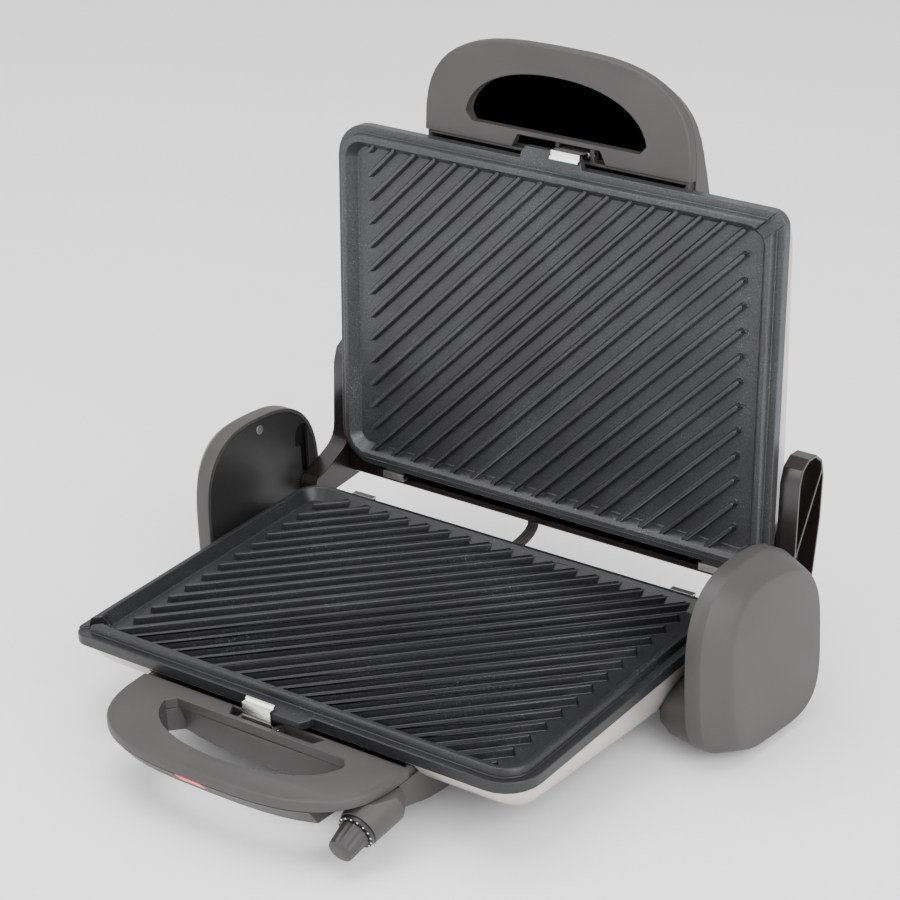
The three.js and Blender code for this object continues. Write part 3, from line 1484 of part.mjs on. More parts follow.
// Left and right swap when the lid half is turned over.
function buildLid(group) {
  const handleRoot = handleRootSpace(LID_HANDLE);
  add(group, "lid_housing", lidHousing(handleRoot), METALLIC_PAINT);
  add(group, "lid_spine", lidSpine(), BROWN_PLASTIC);
  add(group, "lid_handle_front_shell", faceShell(LID_HANDLE), DARK_PLASTIC);
  add(group, "lid_handle_back_shell", deepShell(LID_HANDLE), DARK_PLASTIC);
  add(group, "upper_grill_plate", grillPlate(), CAST_COATING);
  add(group, "upper_heating_element", heatingElement(), STEEL);
  add(group, "upper_reflector", reflectorPan(), STEEL);
  add(group, "upper_clip", clip(), CHROME);
  add(group, "upper_clip_pin", clipPin(), STEEL);
  add(group, "upper_hook_left", rearHook(LUG_X), STEEL);
  add(group, "upper_hook_right", rearHook(-LUG_X), STEEL);
  add(group, "hinge_arm_left", onSide(1, arm()), BROWN_PLASTIC);
  add(group, "hinge_arm_right", onSide(-1, arm()), BROWN_PLASTIC);
}

// Where the lead meets the spine's underside, in the base's half frame with the lid open.
function spineMouthWhenOpen() {
  const angle = THREE.MathUtils.degToRad(LID_OPEN_DEG);
  const shut = new THREE.Vector2(
    PLATE_DEPTH + SPINE_REACH - HINGE_Y,
    LEAD_SPINE_DEPTH + LID_GAP + HINGE_DROP,
  );
  const open = shut.rotateAround(new THREE.Vector2(0, 0), -angle);
  return { y: HINGE_Y + open.x, z: open.y - HINGE_DROP };
}

const base = new THREE.Group();
buildBase(base, spineMouthWhenOpen());

const lidShut = new THREE.Group();
lidShut.position.set(0, -HINGE_Y, HINGE_DROP + LID_GAP);
lidShut.rotation.y = Math.PI;
buildLid(lidShut);

const lidSwung = new THREE.Group();
lidSwung.position.set(0, HINGE_Y, -HINGE_DROP);
lidSwung.rotation.x = -THREE.MathUtils.degToRad(LID_OPEN_DEG);
lidSwung.add(lidShut);

const standing = new THREE.Group();
standing.rotation.x = THREE.MathUtils.degToRad(TILT_DEG);
standing.add(base, lidSwung);
standing.updateMatrixWorld(true);
const bounds = new THREE.Box3().setFromObject(standing, true);
standing.position.set(0, -(bounds.min.y + bounds.max.y) / 2, RIM_HEIGHT);

const press = new THREE.Group();
press.add(standing);
export default press;
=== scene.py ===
"""Looks of a panini press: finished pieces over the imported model, its materials and a studio."""

import json
import math

import bmesh
import bpy
from mathutils import Matrix, Vector


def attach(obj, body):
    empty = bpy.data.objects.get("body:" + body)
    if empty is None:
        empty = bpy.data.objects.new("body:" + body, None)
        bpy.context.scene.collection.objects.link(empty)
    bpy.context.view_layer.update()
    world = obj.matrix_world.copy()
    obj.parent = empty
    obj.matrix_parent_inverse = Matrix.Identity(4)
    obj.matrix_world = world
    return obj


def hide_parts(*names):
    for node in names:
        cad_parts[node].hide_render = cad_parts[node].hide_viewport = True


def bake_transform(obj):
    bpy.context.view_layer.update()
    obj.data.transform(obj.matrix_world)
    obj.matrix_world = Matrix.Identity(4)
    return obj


bl_info = {
    "name": "Panini Press",
    "version": (1, 0, 0),
    "blender": (4, 5, 0),
    "location": "3D View > Sidebar > Press",
    "description": "Finishes the pieces of a panini press and sets up its studio",
    "category": "Object",
}

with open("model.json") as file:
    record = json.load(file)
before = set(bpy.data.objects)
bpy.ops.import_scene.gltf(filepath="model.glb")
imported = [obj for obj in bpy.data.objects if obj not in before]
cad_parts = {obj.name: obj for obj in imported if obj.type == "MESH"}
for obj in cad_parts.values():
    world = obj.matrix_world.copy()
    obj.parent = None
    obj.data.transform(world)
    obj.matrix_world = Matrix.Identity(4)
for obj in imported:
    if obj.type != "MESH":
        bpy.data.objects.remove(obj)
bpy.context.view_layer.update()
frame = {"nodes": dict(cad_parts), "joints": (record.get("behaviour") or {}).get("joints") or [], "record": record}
SIDES = ("left", "right")
JOINTS = {joint["name"]: joint for joint in frame["joints"]}

# The braided lead's route, from the base's back wall to the lid's spine, as the part gives it.
LEAD_ROUTE = [
    (-0.025, 0.09732, 0.04567),
    (-0.025, 0.10933, 0.04581),
    (-0.025, 0.1291, 0.04136),
    (-0.025, 0.14918, 0.04043),
    (-0.025, 0.16473, 0.04585),
    (-0.025, 0.16574, 0.05492),
    (-0.025, 0.16566, 0.06393),
]
LEAD_STEPS = 20
LEAD_SAMPLES = 200
LEAD_SIDES = 20
WEAVE_STRANDS = 6
WEAVE_TURNS = 22

DIAL_SWEEP_DEG = 270
DOT_HEIGHT = 0.00022
DOT_SINK = 0.00005
DOT_SIDES = 12

DOUBLE_DISTANCE = 1e-6
FLAT_DEG = 0.8
FLOOR_HALF_SIZE = 6
FLOOR_GAP = 0.0002
CAMERA_PLACE = (0.83745, -1.1404, 0.78313)
CAMERA_TURN_DEG = (66.385, -0.0065, 35.382)
SENSOR_WIDTH = 36


# ------------------------------------------------------------------ shader tools
class Socket:
    """A shader output that takes part in arithmetic by adding Math nodes."""

    def __init__(self, tree, output):
        self.tree = tree
        self.output = output

    def maths(self, operation, first, second=None):
        node = self.tree.nodes.new("ShaderNodeMath")
        node.operation = operation
        for slot, value in zip(node.inputs, (first, second)):
            if isinstance(value, Socket):
                self.tree.links.new(value.output, slot)
            elif value is not None:
                slot.default_value = value
        return Socket(self.tree, node.outputs[0])

    def __add__(self, other):
        return self.maths("ADD", self, other)

    def __radd__(self, other):
        return self.maths("ADD", other, self)

    def __sub__(self, other):
        return self.maths("SUBTRACT", self, other)

    def __rsub__(self, other):
        return self.maths("SUBTRACT", other, self)

    def __mul__(self, other):
        return self.maths("MULTIPLY", self, other)

    def __rmul__(self, other):
        return self.maths("MULTIPLY", other, self)

    def sine(self):
        return self.maths("SINE", self)


class Finish:
    """A material with one Principled shader and the nodes that feed it."""

    def __init__(self, name):
        self.material = bpy.data.materials.new(name)
        self.material.use_nodes = True
        self.tree = self.material.node_tree
        self.shader = self.tree.nodes["Principled BSDF"]

    def node(self, kind, settings=None, values=None, output=0):
        """Adds a node: its settings first, then the values or links of its sockets."""
        made = self.tree.nodes.new(kind)
        for key, value in (settings or {}).items():
            if key == "stops":
                set_stops(made.color_ramp, value)
            else:
                setattr(made, key, value)
        for key, value in (values or {}).items():
            self.feed(made.inputs[key], value)
        return Socket(self.tree, made.outputs[output])

    def feed(self, slot, value):
        if isinstance(value, Socket):
            self.tree.links.new(value.output, slot)
        else:
            slot.default_value = value

    def set(self, **values):
        for key, value in values.items():
            self.feed(self.shader.inputs[key.replace("_", " ")], value)

    def place(self, scale=(1, 1, 1)):
        """Object coordinates, stretched by a scale."""
        where = self.node("ShaderNodeTexCoord", output="Object")
        return self.node("ShaderNodeMapping", {}, {"Vector": where, "Scale": scale})

    def noise(self, scale, detail=2.0, stretch=(1, 1, 1)):
        values = {"Vector": self.place(stretch), "Scale": scale, "Detail": detail}
        return self.node("ShaderNodeTexNoise", {}, values)

    def colours(self, factor, stops):
        return self.node("ShaderNodeValToRGB", {"stops": stops}, {"Fac": factor})

    def bump(self, height, distance, strength=1.0):
        values = {"Height": height, "Distance": distance, "Strength": strength}
        self.set(Normal=self.node("ShaderNodeBump", {}, values))


def set_stops(ramp, stops):
    while len(ramp.elements) < len(stops):
        ramp.elements.new(1.0)
    for element, (position, colour) in zip(ramp.elements, stops):
        element.position = position
        element.color = (*colour, 1.0)


def shaded(colour, factor):
    return tuple(min(channel * factor, 1.0) for channel in colour)


# ------------------------------------------------------------------ finishes
def speckled_coating(name, colour, fleck):
    """Non-stick coating: dark, with fine bright flecks and a slightly rough skin."""
    finish = Finish(name)
    grain = finish.noise(1500, 3)
    flecks = finish.node(
        "ShaderNodeTexVoronoi", {"feature": "F1"}, {"Vector": finish.place(), "Scale": 900}
    )
    patch = finish.noise(22, 3)
    mix = grain * 0.55 + patch * 0.25 + (1.0 - flecks) * 0.2
    finish.set(
        Base_Color=finish.colours(
            mix,
            [
                (0.34, shaded(colour, 0.55)),
                (0.5, colour),
                (0.62, shaded(colour, 1.7)),
                (0.72, fleck),
            ],
        ),
        Roughness=0.3 + grain * 0.25,
        Metallic=0.25,
        Specular_IOR_Level=0.6,
    )
    finish.bump(grain * 0.7 + flecks * 0.3, 0.00018, 0.6)
    return finish.material


def grained_plastic(name, colour, roughness, grain_depth=0.00005):
    """Moulded plastic with a fine spark-eroded grain."""
    finish = Finish(name)
    grain = finish.noise(2600, 2)
    patch = finish.noise(30, 2)
    finish.set(
        Base_Color=finish.colours(
            patch * 0.5 + grain * 0.5,
            [(0.3, shaded(colour, 0.88)), (0.7, shaded(colour, 1.12))],
        ),
        Roughness=roughness - 0.06 + grain * 0.12,
        Specular_IOR_Level=0.4,
    )
    finish.bump(grain, grain_depth, 0.5)
    return finish.material


def glossy_plastic(name, colour):
    """Smooth dark moulding with faint waviness and a patchy tone."""
    finish = Finish(name)
    patch = finish.noise(40, 3)
    finish.set(
        Base_Color=finish.colours(
            patch, [(0.35, shaded(colour, 0.8)), (0.65, shaded(colour, 1.25))]
        ),
        Roughness=0.14 + patch * 0.16,
        Specular_IOR_Level=0.6,
    )
    finish.bump(patch, 0.0002, 0.3)
    return finish.material


def metallic_paint(name, colour):
    """Satin silver paint with fine metal flake."""
    finish = Finish(name)
    flake = finish.noise(3200, 1)
    patch = finish.noise(12, 2)
    finish.set(
        Base_Color=finish.colours(
            flake * 0.6 + patch * 0.4,
            [(0.3, shaded(colour, 0.86)), (0.7, shaded(colour, 1.12))],
        ),
        Roughness=0.26 + flake * 0.12,
        Metallic=0.55,
        Coat_Weight=0.3,
        Coat_Roughness=0.15,
    )
    finish.bump(flake, 0.00002, 0.3)
    return finish.material


def bare_metal(name, colour, roughness, stretch=(1, 1, 1), depth=0.00003):
    """Metal with drawing marks along the axis that the stretch keeps small."""
    finish = Finish(name)
    marks = finish.noise(900, 3, stretch)
    finish.set(
        Base_Color=finish.colours(
            marks, [(0.3, shaded(colour, 0.85)), (0.7, shaded(colour, 1.1))]
        ),
        Roughness=roughness + marks * 0.1,
        Metallic=1.0,
    )
    finish.bump(marks, depth, 0.4)
    return finish.material


def clear_red(name, colour):
    finish = Finish(name)
    ribs = finish.noise(240, 1, (1, 0.05, 0.05))
    finish.set(
        Base_Color=finish.colours(ribs, [(0.3, shaded(colour, 0.75)), (0.7, colour)]),
        Roughness=0.2,
        Emission_Color=(*colour, 1.0),
        Emission_Strength=0.45,
    )
    return finish.material


def lamp_glass(name, colour):
    finish = Finish(name)
    haze = finish.noise(200, 2)
    finish.set(
        Base_Color=finish.colours(haze, [(0.3, shaded(colour, 0.9)), (0.7, colour)]),
        Roughness=0.05,
        Transmission_Weight=0.9,
    )
    return finish.material


def soft_rubber(name, colour):
    finish = Finish(name)
    grain = finish.noise(900, 3)
    finish.set(
        Base_Color=finish.colours(
            grain, [(0.3, shaded(colour, 0.7)), (0.7, shaded(colour, 1.3))]
        ),
        Roughness=0.8 + grain * 0.1,
    )
    finish.bump(grain, 0.0001, 0.4)
    return finish.material


def braided_sleeve(name, colour, strands, turns):
    """Woven glass sleeve: two sets of strands that cross as they wind round the lead."""
    finish = Finish(name)
    along = finish.node("ShaderNodeUVMap", {"uv_map": "Weave"})
    split = {"Vector": along}
    length = finish.node("ShaderNodeSeparateXYZ", {}, split, output="X")
    around = finish.node("ShaderNodeSeparateXYZ", {}, split, output="Y")
    one = (length * turns + around * strands) * (2 * math.pi)
    other = (length * turns - around * strands) * (2 * math.pi)
    weave = one.sine() * other.sine()
    height = 0.5 + weave * 0.5
    # The colour follows the weave's height: painted shade in the hollows between the strands and painted light on
    # their crowns.
    finish.set(
        Base_Color=finish.colours(
            height, [(0.2, shaded(colour, 0.4)), (0.8, shaded(colour, 1.8))]
        ),
        Roughness=0.85,
    )
    finish.bump(height, 0.0004, 0.8)
    return finish.material


def white_print(name, colour):
    finish = Finish(name)
    wear = finish.noise(500, 2)
    finish.set(
        Base_Color=finish.colours(wear, [(0.3, shaded(colour, 0.85)), (0.6, colour)]),
        Roughness=0.5,
    )
    return finish.material


# ------------------------------------------------------------------ piece tools
def new_piece(name, bm, body, material, smooth_degrees=32):
    """Turns the faces outwards, then makes the object."""
    bmesh.ops.recalc_face_normals(bm, faces=bm.faces)
    return shade_and_ride(name, bm, body, material, smooth_degrees)


def shade_and_ride(name, bm, body, material, smooth_degrees):
    """Makes an object of a bmesh, smooth between its sharp edges, and hangs it on its body."""
    for face in bm.faces:
        face.smooth = True
    sharpest = math.radians(smooth_degrees)
    for edge in bm.edges:
        edge.smooth = edge.is_manifold and edge.calc_face_angle() < sharpest
    mesh = bpy.data.meshes.new(name)
    bm.to_mesh(mesh)
    bm.free()
    stale = mesh.attributes.get("custom_normal")
    if stale:
        mesh.attributes.remove(stale)
    mesh.materials.clear()
    mesh.materials.append(material)
    for polygon in mesh.polygons:
        polygon.material_index = 0
    piece = bpy.data.objects.new(name, mesh)
    bpy.context.scene.collection.objects.link(piece)
    if body:
        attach(piece, body)
    return piece


def body_of(node):
    """The name of the body that a node belongs to."""
    for body, nodes in frame["record"]["behaviour"]["bodies"].items():
        if node in nodes:
            return body
    raise ValueError(f"{node} is in no body")


def finished(node, material, edge=0.0003, smooth_degrees=32, cuts=2):
    """A merged, softly edged copy of a CAD node that stands for it."""
    bm = bmesh.new()
    bm.from_mesh(frame["nodes"][node].data)
    bmesh.ops.remove_doubles(bm, verts=bm.verts, dist=DOUBLE_DISTANCE)
    # Known fault: a flat face that goes round a hole comes out with a membrane across the hole.
    bmesh.ops.dissolve_limit(
        bm, angle_limit=math.radians(FLAT_DEG), verts=bm.verts, edges=bm.edges
    )
    piece = shade_and_ride(
        f"{node}_finish", bm, body_of(node), material, smooth_degrees
    )
    if edge:
        bevel = piece.modifiers.new("Soft edges", "BEVEL")
        bevel.width = edge
        bevel.segments = cuts
        bevel.limit_method = "ANGLE"
        bevel.angle_limit = math.radians(smooth_degrees)
        bevel.use_clamp_overlap = False
        bevel.harden_normals = True
        bevel.miter_outer = "MITER_ARC"
    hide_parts(node)
    return piece


def paint(material, *nodes):
    """Gives CAD nodes that stay as they are a better material."""
    for node in nodes:
        shape = frame["nodes"][node]
        shape.data.materials.clear()
        shape.data.materials.append(material)


def along(start, end):
    """A matrix that takes +Z at the origin to the line from start towards end."""
    direction = (Vector(end) - Vector(start)).normalized()
    return Matrix.Translation(start) @ direction.to_track_quat("Z", "Y").to_matrix().to_4x4()


def raised_disc(bm, matrix, radius, height, segments=16):
    """Adds a disc that stands up from the matrix's plane, with a softened rim."""
    made = bmesh.ops.create_circle(
        bm, cap_ends=True, segments=segments, radius=radius, matrix=matrix
    )
    face = made["verts"][0].link_faces[0]
    lifted = bmesh.ops.extrude_face_region(bm, geom=[face])
    verts = [item for item in lifted["geom"] if isinstance(item, bmesh.types.BMVert)]
    up = matrix.to_3x3() @ Vector((0, 0, height))
    bmesh.ops.translate(bm, vec=up, verts=verts)
    touching = {edge for vert in verts for edge in vert.link_edges}
    rim = [edge for edge in touching if all(vert in verts for vert in edge.verts)]
    bmesh.ops.bevel(
        bm, geom=rim, offset=height * 0.4, segments=2, profile=0.5, affect="EDGES", material=-1
    )


def bend(before, start, end, after, share):
    """A point between start and end on the centripetal curve through the four points."""
    first, middle, last = (
        math.sqrt((b - a).length) for a, b in ((before, start), (start, end), (end, after))
    )
    leave = (start - before) / first - (end - before) / (first + middle) + (end - start) / middle
    arrive = (end - start) / middle - (after - start) / (middle + last) + (after - end) / last
    square = share**2
    cube = share**3
    return (
        start * (2 * cube - 3 * square + 1)
        + leave * middle * (cube - 2 * square + share)
        + end * (3 * square - 2 * cube)
        + arrive * middle * (cube - square)
    )


def smooth_route(route, steps):
    """Points at even distances along the smooth curve through a route."""
    knots = [Vector(point) for point in route]
    knots = [2 * knots[0] - knots[1], *knots, 2 * knots[-1] - knots[-2]]
    spans = len(route) - 1
    fine = []
    for index in range(LEAD_SAMPLES + 1):
        place = index / LEAD_SAMPLES * spans
        span = min(int(place), spans - 1)
        fine.append(bend(*knots[span : span + 4], place - span))
    travelled = [0.0]
    for start, end in zip(fine, fine[1:]):
        travelled.append(travelled[-1] + (end - start).length)
    points = [fine[0]]
    for step in range(1, steps):
        goal = travelled[-1] * step / steps
        after = next(index for index, value in enumerate(travelled) if value >= goal)
        share = (goal - travelled[after - 1]) / (travelled[after] - travelled[after - 1])
        points.append(fine[after - 1].lerp(fine[after], share))
    return [*points, fine[-1]]


# ------------------------------------------------------------------ settings
def colour_property(name, text, default):
    return bpy.props.FloatVectorProperty(
        name=name, description=text, subtype="COLOR", size=3, min=0, max=1, default=default
    )


class PressColours(bpy.types.PropertyGroup):
    """Colours of the press's finishes."""

    # Both plates have one coating, painted lighter for the lid's plate and darker for the base's plate: painted
    # light and painted shade.
    upper_coating: colour_property("Upper coating", "Coating of the lid's plate", (0.032, 0.033, 0.035))
    lower_coating: colour_property("Lower coating", "Coating of the base's plate", (0.009, 0.0095, 0.0105))
    plastic: colour_property("Plastic", "Handles, pods and knob", (0.043, 0.041, 0.04))
    arms: colour_property("Arms", "Lid arms and spine", (0.01, 0.007, 0.007))
    paint: colour_property("Paint", "Base tray and lid housing", (0.5, 0.46, 0.44))
    lens: colour_property("Lens", "Indicator lens", (0.75, 0.045, 0.03))
    sleeve: colour_property("Sleeve", "Braided sleeve of the lead", (0.035, 0.03, 0.03))


class PressSizes(bpy.types.PropertyGroup):
    """Small sizes that the finishing pieces use."""

    edge: bpy.props.FloatProperty(
        name="Edge", description="Radius of moulded edges", unit="LENGTH", default=0.0004, min=0
    )
    dial_dots: bpy.props.IntProperty(
        name="Dial dots", description="Printed dots round the temperature dial", default=13, min=3
    )
    dot_radius: bpy.props.FloatProperty(
        name="Dot radius", description="Radius of a printed dot", unit="LENGTH", default=0.00055
    )
    dial_radius: bpy.props.FloatProperty(
        name="Dot circle", description="Circle the dots stand on", unit="LENGTH", default=0.0102
    )
    dial_front: bpy.props.FloatProperty(
        name="Dial front", description="Face of the dial in front of its seat", unit="LENGTH", default=0.0027
    )
    lead_diameter: bpy.props.FloatProperty(
        name="Lead diameter", description="Thickness of the braided lead", unit="LENGTH", default=0.0072
    )
    lens_length: bpy.props.FloatProperty(
        name="Focal length", description="Camera lens in millimetres", default=108.54, min=1
    )


def colours():
    return bpy.context.scene.press_colours


def sizes():
    return bpy.context.scene.press_sizes


# ------------------------------------------------------------------ operators
class PRESS_OT_plates(bpy.types.Operator):
    """Finish both ribbed plates with a speckled coating"""

    bl_idname = "press.plates"
    bl_label = "Grill plates"

    def execute(self, context):
        # One coating in two copies: the lid's is lighter with lighter flecks (painted light), the base's darker
        # (painted shade).
        lower = speckled_coating("coating_lower", colours().lower_coating, (0.16, 0.17, 0.18))
        upper = speckled_coating("coating_upper", colours().upper_coating, (0.24, 0.25, 0.26))
        finished("lower_grill_plate", lower, 0.0006, 40, 3)
        finished("upper_grill_plate", upper, 0.0006, 40, 3)
        return {"FINISHED"}


class PRESS_OT_housings(bpy.types.Operator):
    """Finish the painted tray and lid, and the cover under the tray"""

    bl_idname = "press.housings"
    bl_label = "Housings"

    def execute(self, context):
        silver = metallic_paint("satin_silver", colours().paint)
        finished("base_housing", silver, 0.0003)
        finished("lid_housing", silver, 0.0003)
        black = grained_plastic("black_cover", (0.022, 0.022, 0.022), 0.6)
        finished("base_bottom_cover", black, 0.0004)
        screw = bare_metal("screw_steel", (0.55, 0.55, 0.54), 0.3)
        for number in range(1, 5):
            finished(f"base_cover_screw_{number}", screw, 0.0002)
        return {"FINISHED"}


class PRESS_OT_handles(bpy.types.Operator):
    """Finish the two loop handles"""

    bl_idname = "press.handles"
    bl_label = "Handles"

    def execute(self, context):
        grey = grained_plastic("handle_grain", colours().plastic, 0.52)
        for node in (
            "base_handle_top_shell",
            "base_handle_lower_shell",
            "lid_handle_front_shell",
            "lid_handle_back_shell",
        ):
            finished(node, grey, sizes().edge)
        return {"FINISHED"}


class PRESS_OT_controls(bpy.types.Operator):
    """Finish the knob, dial, lens and lamp, and print the dial's dots"""

    bl_idname = "press.controls"
    bl_label = "Controls"

    def execute(self, context):
        # The knob is the handles' plastic at 0.7 of its colour: painted shade.
        dark = grained_plastic("knob_grain", shaded(colours().plastic, 0.7), 0.45)
        black = grained_plastic("dial_black", (0.016, 0.016, 0.016), 0.4)
        finished("thermostat_knob", dark, 0.00025, 40)
        finished("dial_ring", black, 0.0003)
        finished("indicator_lens", clear_red("clear_red", colours().lens), 0.0003)
        paint(lamp_glass("lamp_glass", (0.9, 0.5, 0.35)), "indicator_lamp")
        metal = bare_metal("shaft_steel", (0.6, 0.6, 0.6), 0.3)
        paint(metal, "thermostat_shaft", "thermostat_body")
        self.print_dots()
        return {"FINISHED"}

    def print_dots(self):
        joint = JOINTS["thermostat_turn"]
        seat = Vector(joint["pos_m"])
        out = Vector(joint["axis"]).normalized()
        face = along(seat + out * sizes().dial_front, seat + out)
        count = sizes().dial_dots
        bm = bmesh.new()
        for number in range(count):
            turn = math.radians(DIAL_SWEEP_DEG * (number / (count - 1) - 0.5))
            outwards = Matrix.Translation((0, sizes().dial_radius, -DOT_SINK))
            spot = Matrix.Rotation(turn, 4, "Z") @ outwards
            raised_disc(bm, face @ spot, sizes().dot_radius, DOT_HEIGHT, DOT_SIDES)
        ink = white_print("dial_print", (0.85, 0.85, 0.82))
        new_piece("dial_dots", bm, "base", ink)


class PRESS_OT_clips(bpy.types.Operator):
    """Finish the bright plate clips, their pins and the rear hooks"""

    bl_idname = "press.clips"
    bl_label = "Clips and hooks"

    def execute(self, context):
        bright = bare_metal("bright_plate", (0.9, 0.9, 0.88), 0.08, (0.1, 1, 1), 0.00001)
        steel = bare_metal("plain_steel", (0.55, 0.55, 0.54), 0.3)
        for level in ("lower", "upper"):
            finished(f"{level}_clip", bright, 0.0002)
            finished(f"{level}_clip_pin", steel, 0.0002)
            for side in SIDES:
                finished(f"{level}_hook_{side}", steel, 0.0002)
        return {"FINISHED"}


class PRESS_OT_pods(bpy.types.Operator):
    """Finish the hinge pods with their necks, covers, screws, pins and sliders"""

    bl_idname = "press.pods"
    bl_label = "Pods"

    def execute(self, context):
        grey = grained_plastic("pod_grain", colours().plastic, 0.48)
        black = grained_plastic("pod_cover_black", (0.02, 0.02, 0.02), 0.35)
        steel = bare_metal("pin_steel", (0.5, 0.5, 0.5), 0.25)
        for side in SIDES:
            finished(f"pod_shell_{side}", grey, sizes().edge, 28)
            finished(f"pod_neck_{side}", grey, sizes().edge)
            finished(f"pod_inner_cover_{side}", black, 0.0003)
            finished(f"pod_screw_{side}", steel, 0.0002)
            finished(f"hinge_slider_{side}", black, 0.0003)
            finished(f"hinge_pin_{side}", steel, 0.0003)
        return {"FINISHED"}


class PRESS_OT_arms(bpy.types.Operator):
    """Finish the lid's arms and spine"""

    bl_idname = "press.arms"
    bl_label = "Arms and spine"

    def execute(self, context):
        brown = glossy_plastic("arm_gloss", colours().arms)
        finished("lid_spine", brown, 0.0005)
        for side in SIDES:
            finished(f"hinge_arm_{side}", brown, 0.0005)
        return {"FINISHED"}


class PRESS_OT_lead(bpy.types.Operator):
    """Make the braided lead between the base and the lid"""

    bl_idname = "press.lead"
    bl_label = "Braided lead"

    def execute(self, context):
        radius = sizes().lead_diameter / 2
        line = smooth_route(LEAD_ROUTE, LEAD_STEPS)
        bm = bmesh.new()
        turn = Matrix.Rotation(math.pi / 2, 4, "X")
        start = Matrix.Translation(line[0]) @ turn
        ring = bmesh.ops.create_circle(bm, segments=LEAD_SIDES, radius=radius, matrix=start)
        edges = list({edge for vert in ring["verts"] for edge in vert.link_edges})
        for index in range(1, len(line)):
            step = bmesh.ops.extrude_edge_only(bm, edges=edges)
            verts = [item for item in step["geom"] if isinstance(item, bmesh.types.BMVert)]
            edges = [item for item in step["geom"] if isinstance(item, bmesh.types.BMEdge)]
            bmesh.ops.translate(bm, vec=line[index] - line[index - 1], verts=verts)
            before = self.direction(line, index - 1)
            lean = before.rotation_difference(self.direction(line, index))
            bmesh.ops.rotate(bm, cent=line[index], matrix=lean.to_matrix(), verts=verts)
        weave = bm.loops.layers.uv.new("Weave")
        self.lay_weave(bm, weave, line)
        bmesh.ops.holes_fill(bm, edges=bm.edges)
        sleeve = braided_sleeve("braid", colours().sleeve, WEAVE_STRANDS, WEAVE_TURNS)
        piece = new_piece("heater_lead_finish", bm, None, sleeve, 60)
        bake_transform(piece)
        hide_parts("heater_lead")
        length = sum((b - a).length for a, b in zip(line, line[1:]))
        return {"FINISHED"}

    def direction(self, line, index):
        before = line[max(index - 1, 0)]
        after = line[min(index + 1, len(line) - 1)]
        return (after - before).normalized()

    def lay_weave(self, bm, layer, line):
        """Length along the lead and the share of a turn round it, for the weave."""
        for face in bm.faces:
            for loop in face.loops:
                place = loop.vert.co
                nearest = min(range(len(line)), key=lambda i: (line[i] - place).length)
                ahead = self.direction(line, nearest)
                spoke = place - line[nearest]
                side = math.atan2(spoke.x, spoke.dot(Vector((1, 0, 0)).cross(ahead)))
                loop[layer].uv = (nearest / (len(line) - 1), side / (2 * math.pi))


class PRESS_OT_works(bpy.types.Operator):
    """Paint the heating elements, reflectors, terminals and inlet"""

    bl_idname = "press.works"
    bl_label = "Inner works"

    def execute(self, context):
        element = bare_metal("element_sheath", (0.25, 0.24, 0.22), 0.45)
        paint(element, "lower_heating_element", "upper_heating_element")
        pan = bare_metal("pan_sheet", (0.75, 0.75, 0.74), 0.2, (0.2, 1, 1))
        paint(pan, "lower_reflector", "upper_reflector")
        ceramic = grained_plastic("terminal_ceramic", (0.75, 0.7, 0.6), 0.4)
        paint(ceramic, "terminal_block")
        black = grained_plastic("inlet_black", (0.02, 0.02, 0.02), 0.5)
        finished("mains_inlet_bushing", black, 0.0003)
        return {"FINISHED"}


class PRESS_OT_feet(bpy.types.Operator):
    """Finish the rubber feet"""

    bl_idname = "press.feet"
    bl_label = "Feet"

    def execute(self, context):
        rubber = soft_rubber("foot_rubber", (0.02, 0.02, 0.02))
        for side in SIDES:
            finished(f"foot_front_{side}", rubber, 0.0004)
            finished(f"foot_rear_{side}", rubber, 0.0003)
        return {"FINISHED"}


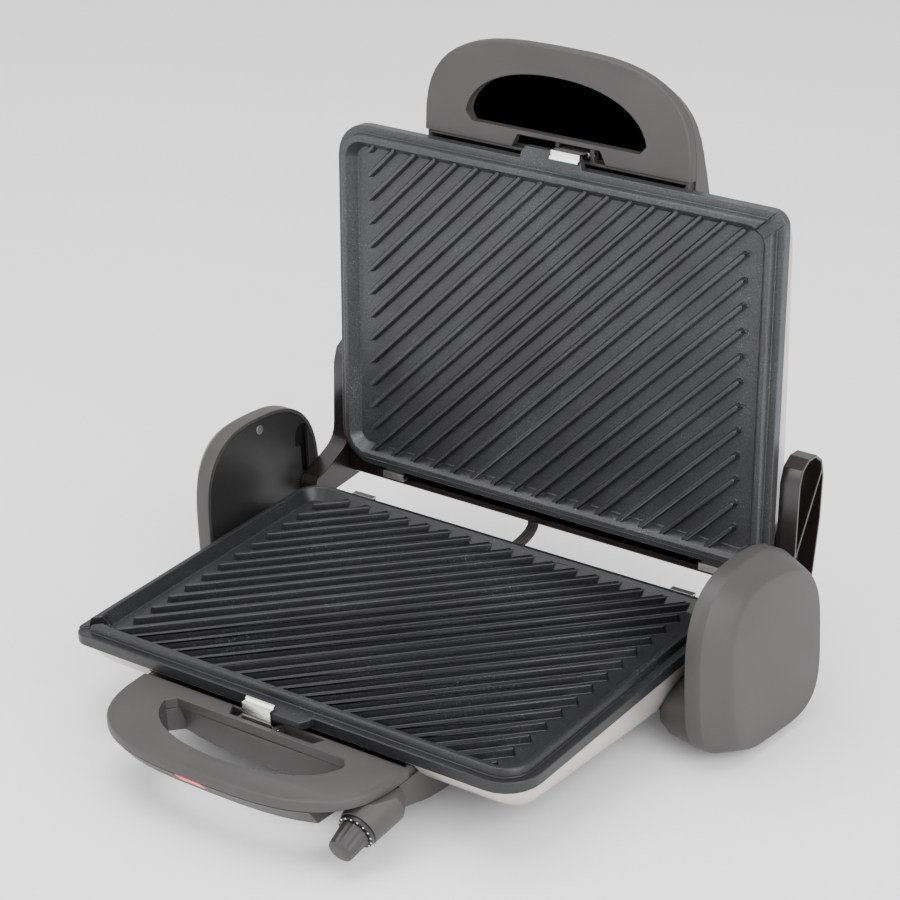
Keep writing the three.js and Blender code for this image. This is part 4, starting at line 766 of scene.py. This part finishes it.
class PRESS_OT_stage(bpy.types.Operator):
    """Set up the floor, the lights and the camera"""

    bl_idname = "press.stage"
    bl_label = "Studio"

    def execute(self, context):
        self.floor()
        self.light("key", (1.5, -0.7, 0.95), (0.05, 0.05, 0.1), 1.6, 38)
        self.light("top", (-0.25, -0.15, 1.9), (0, 0.05, 0.1), 1.8, 30)
        self.light("front", (-0.9, -1.7, 0.9), (0, 0, 0.15), 1.4, 14)
        self.surroundings()
        self.camera()
        return {"FINISHED"}

    def floor(self):
        bm = bmesh.new()
        bmesh.ops.create_grid(bm, x_segments=1, y_segments=1, size=FLOOR_HALF_SIZE)
        mesh = bpy.data.meshes.new("floor")
        bm.to_mesh(mesh)
        bm.free()
        finish = Finish("floor_paint")
        cloud = finish.noise(2, 1)
        finish.set(
            Base_Color=finish.colours(
                cloud, [(0.3, (0.93, 0.93, 0.93)), (0.7, (0.95, 0.95, 0.95))]
            ),
            Roughness=0.9,
        )
        mesh.materials.append(finish.material)
        floor = bpy.data.objects.new("floor", mesh)
        floor.location.z = -FLOOR_GAP
        bpy.context.scene.collection.objects.link(floor)

    def light(self, name, place, target, size, watts):
        lamp = bpy.data.lights.new(name, "AREA")
        lamp.shape = "DISK"
        lamp.size = size
        lamp.energy = watts
        holder = bpy.data.objects.new(name, lamp)
        holder.location = place
        towards = Vector(target) - Vector(place)
        holder.rotation_euler = towards.to_track_quat("-Z", "Y").to_euler()
        bpy.context.scene.collection.objects.link(holder)

    def surroundings(self):
        world = bpy.data.worlds.new("studio")
        world.use_nodes = True
        background = world.node_tree.nodes["Background"]
        background.inputs["Color"].default_value = (1, 1, 1, 1)
        background.inputs["Strength"].default_value = 1.15
        bpy.context.scene.world = world

    def camera(self):
        lens = bpy.data.cameras.new("camera")
        lens.lens = sizes().lens_length
        lens.sensor_width = SENSOR_WIDTH
        lens.clip_end = 20
        holder = bpy.data.objects.new("camera", lens)
        holder.location = CAMERA_PLACE
        holder.rotation_euler = [math.radians(angle) for angle in CAMERA_TURN_DEG]
        bpy.context.scene.collection.objects.link(holder)
        bpy.context.scene.camera = holder


STEPS = (
    PRESS_OT_stage,
    PRESS_OT_lead,
    PRESS_OT_plates,
    PRESS_OT_housings,
    PRESS_OT_handles,
    PRESS_OT_controls,
    PRESS_OT_clips,
    PRESS_OT_pods,
    PRESS_OT_arms,
    PRESS_OT_works,
    PRESS_OT_feet,
)


class PRESS_PT_panel(bpy.types.Panel):
    """Sidebar panel with the press's settings and steps"""

    bl_label = "Panini press"
    bl_space_type = "VIEW_3D"
    bl_region_type = "UI"
    bl_category = "Press"

    def draw(self, context):
        for group in (context.scene.press_colours, context.scene.press_sizes):
            for key in group.__annotations__:
                self.layout.prop(group, key)
        for step in STEPS:
            self.layout.operator(step.bl_idname)


CLASSES = (PressColours, PressSizes, *STEPS, PRESS_PT_panel)


def register():
    for item in CLASSES:
        bpy.utils.register_class(item)
    bpy.types.Scene.press_colours = bpy.props.PointerProperty(type=PressColours)
    bpy.types.Scene.press_sizes = bpy.props.PointerProperty(type=PressSizes)


def unregister():
    del bpy.types.Scene.press_sizes
    del bpy.types.Scene.press_colours
    for item in reversed(CLASSES):
        bpy.utils.unregister_class(item)


def main():
    register()
    for step in STEPS:
        group, name = step.bl_idname.split(".")
        getattr(getattr(bpy.ops, group), name)()


if __name__ == "__main__":
    main()
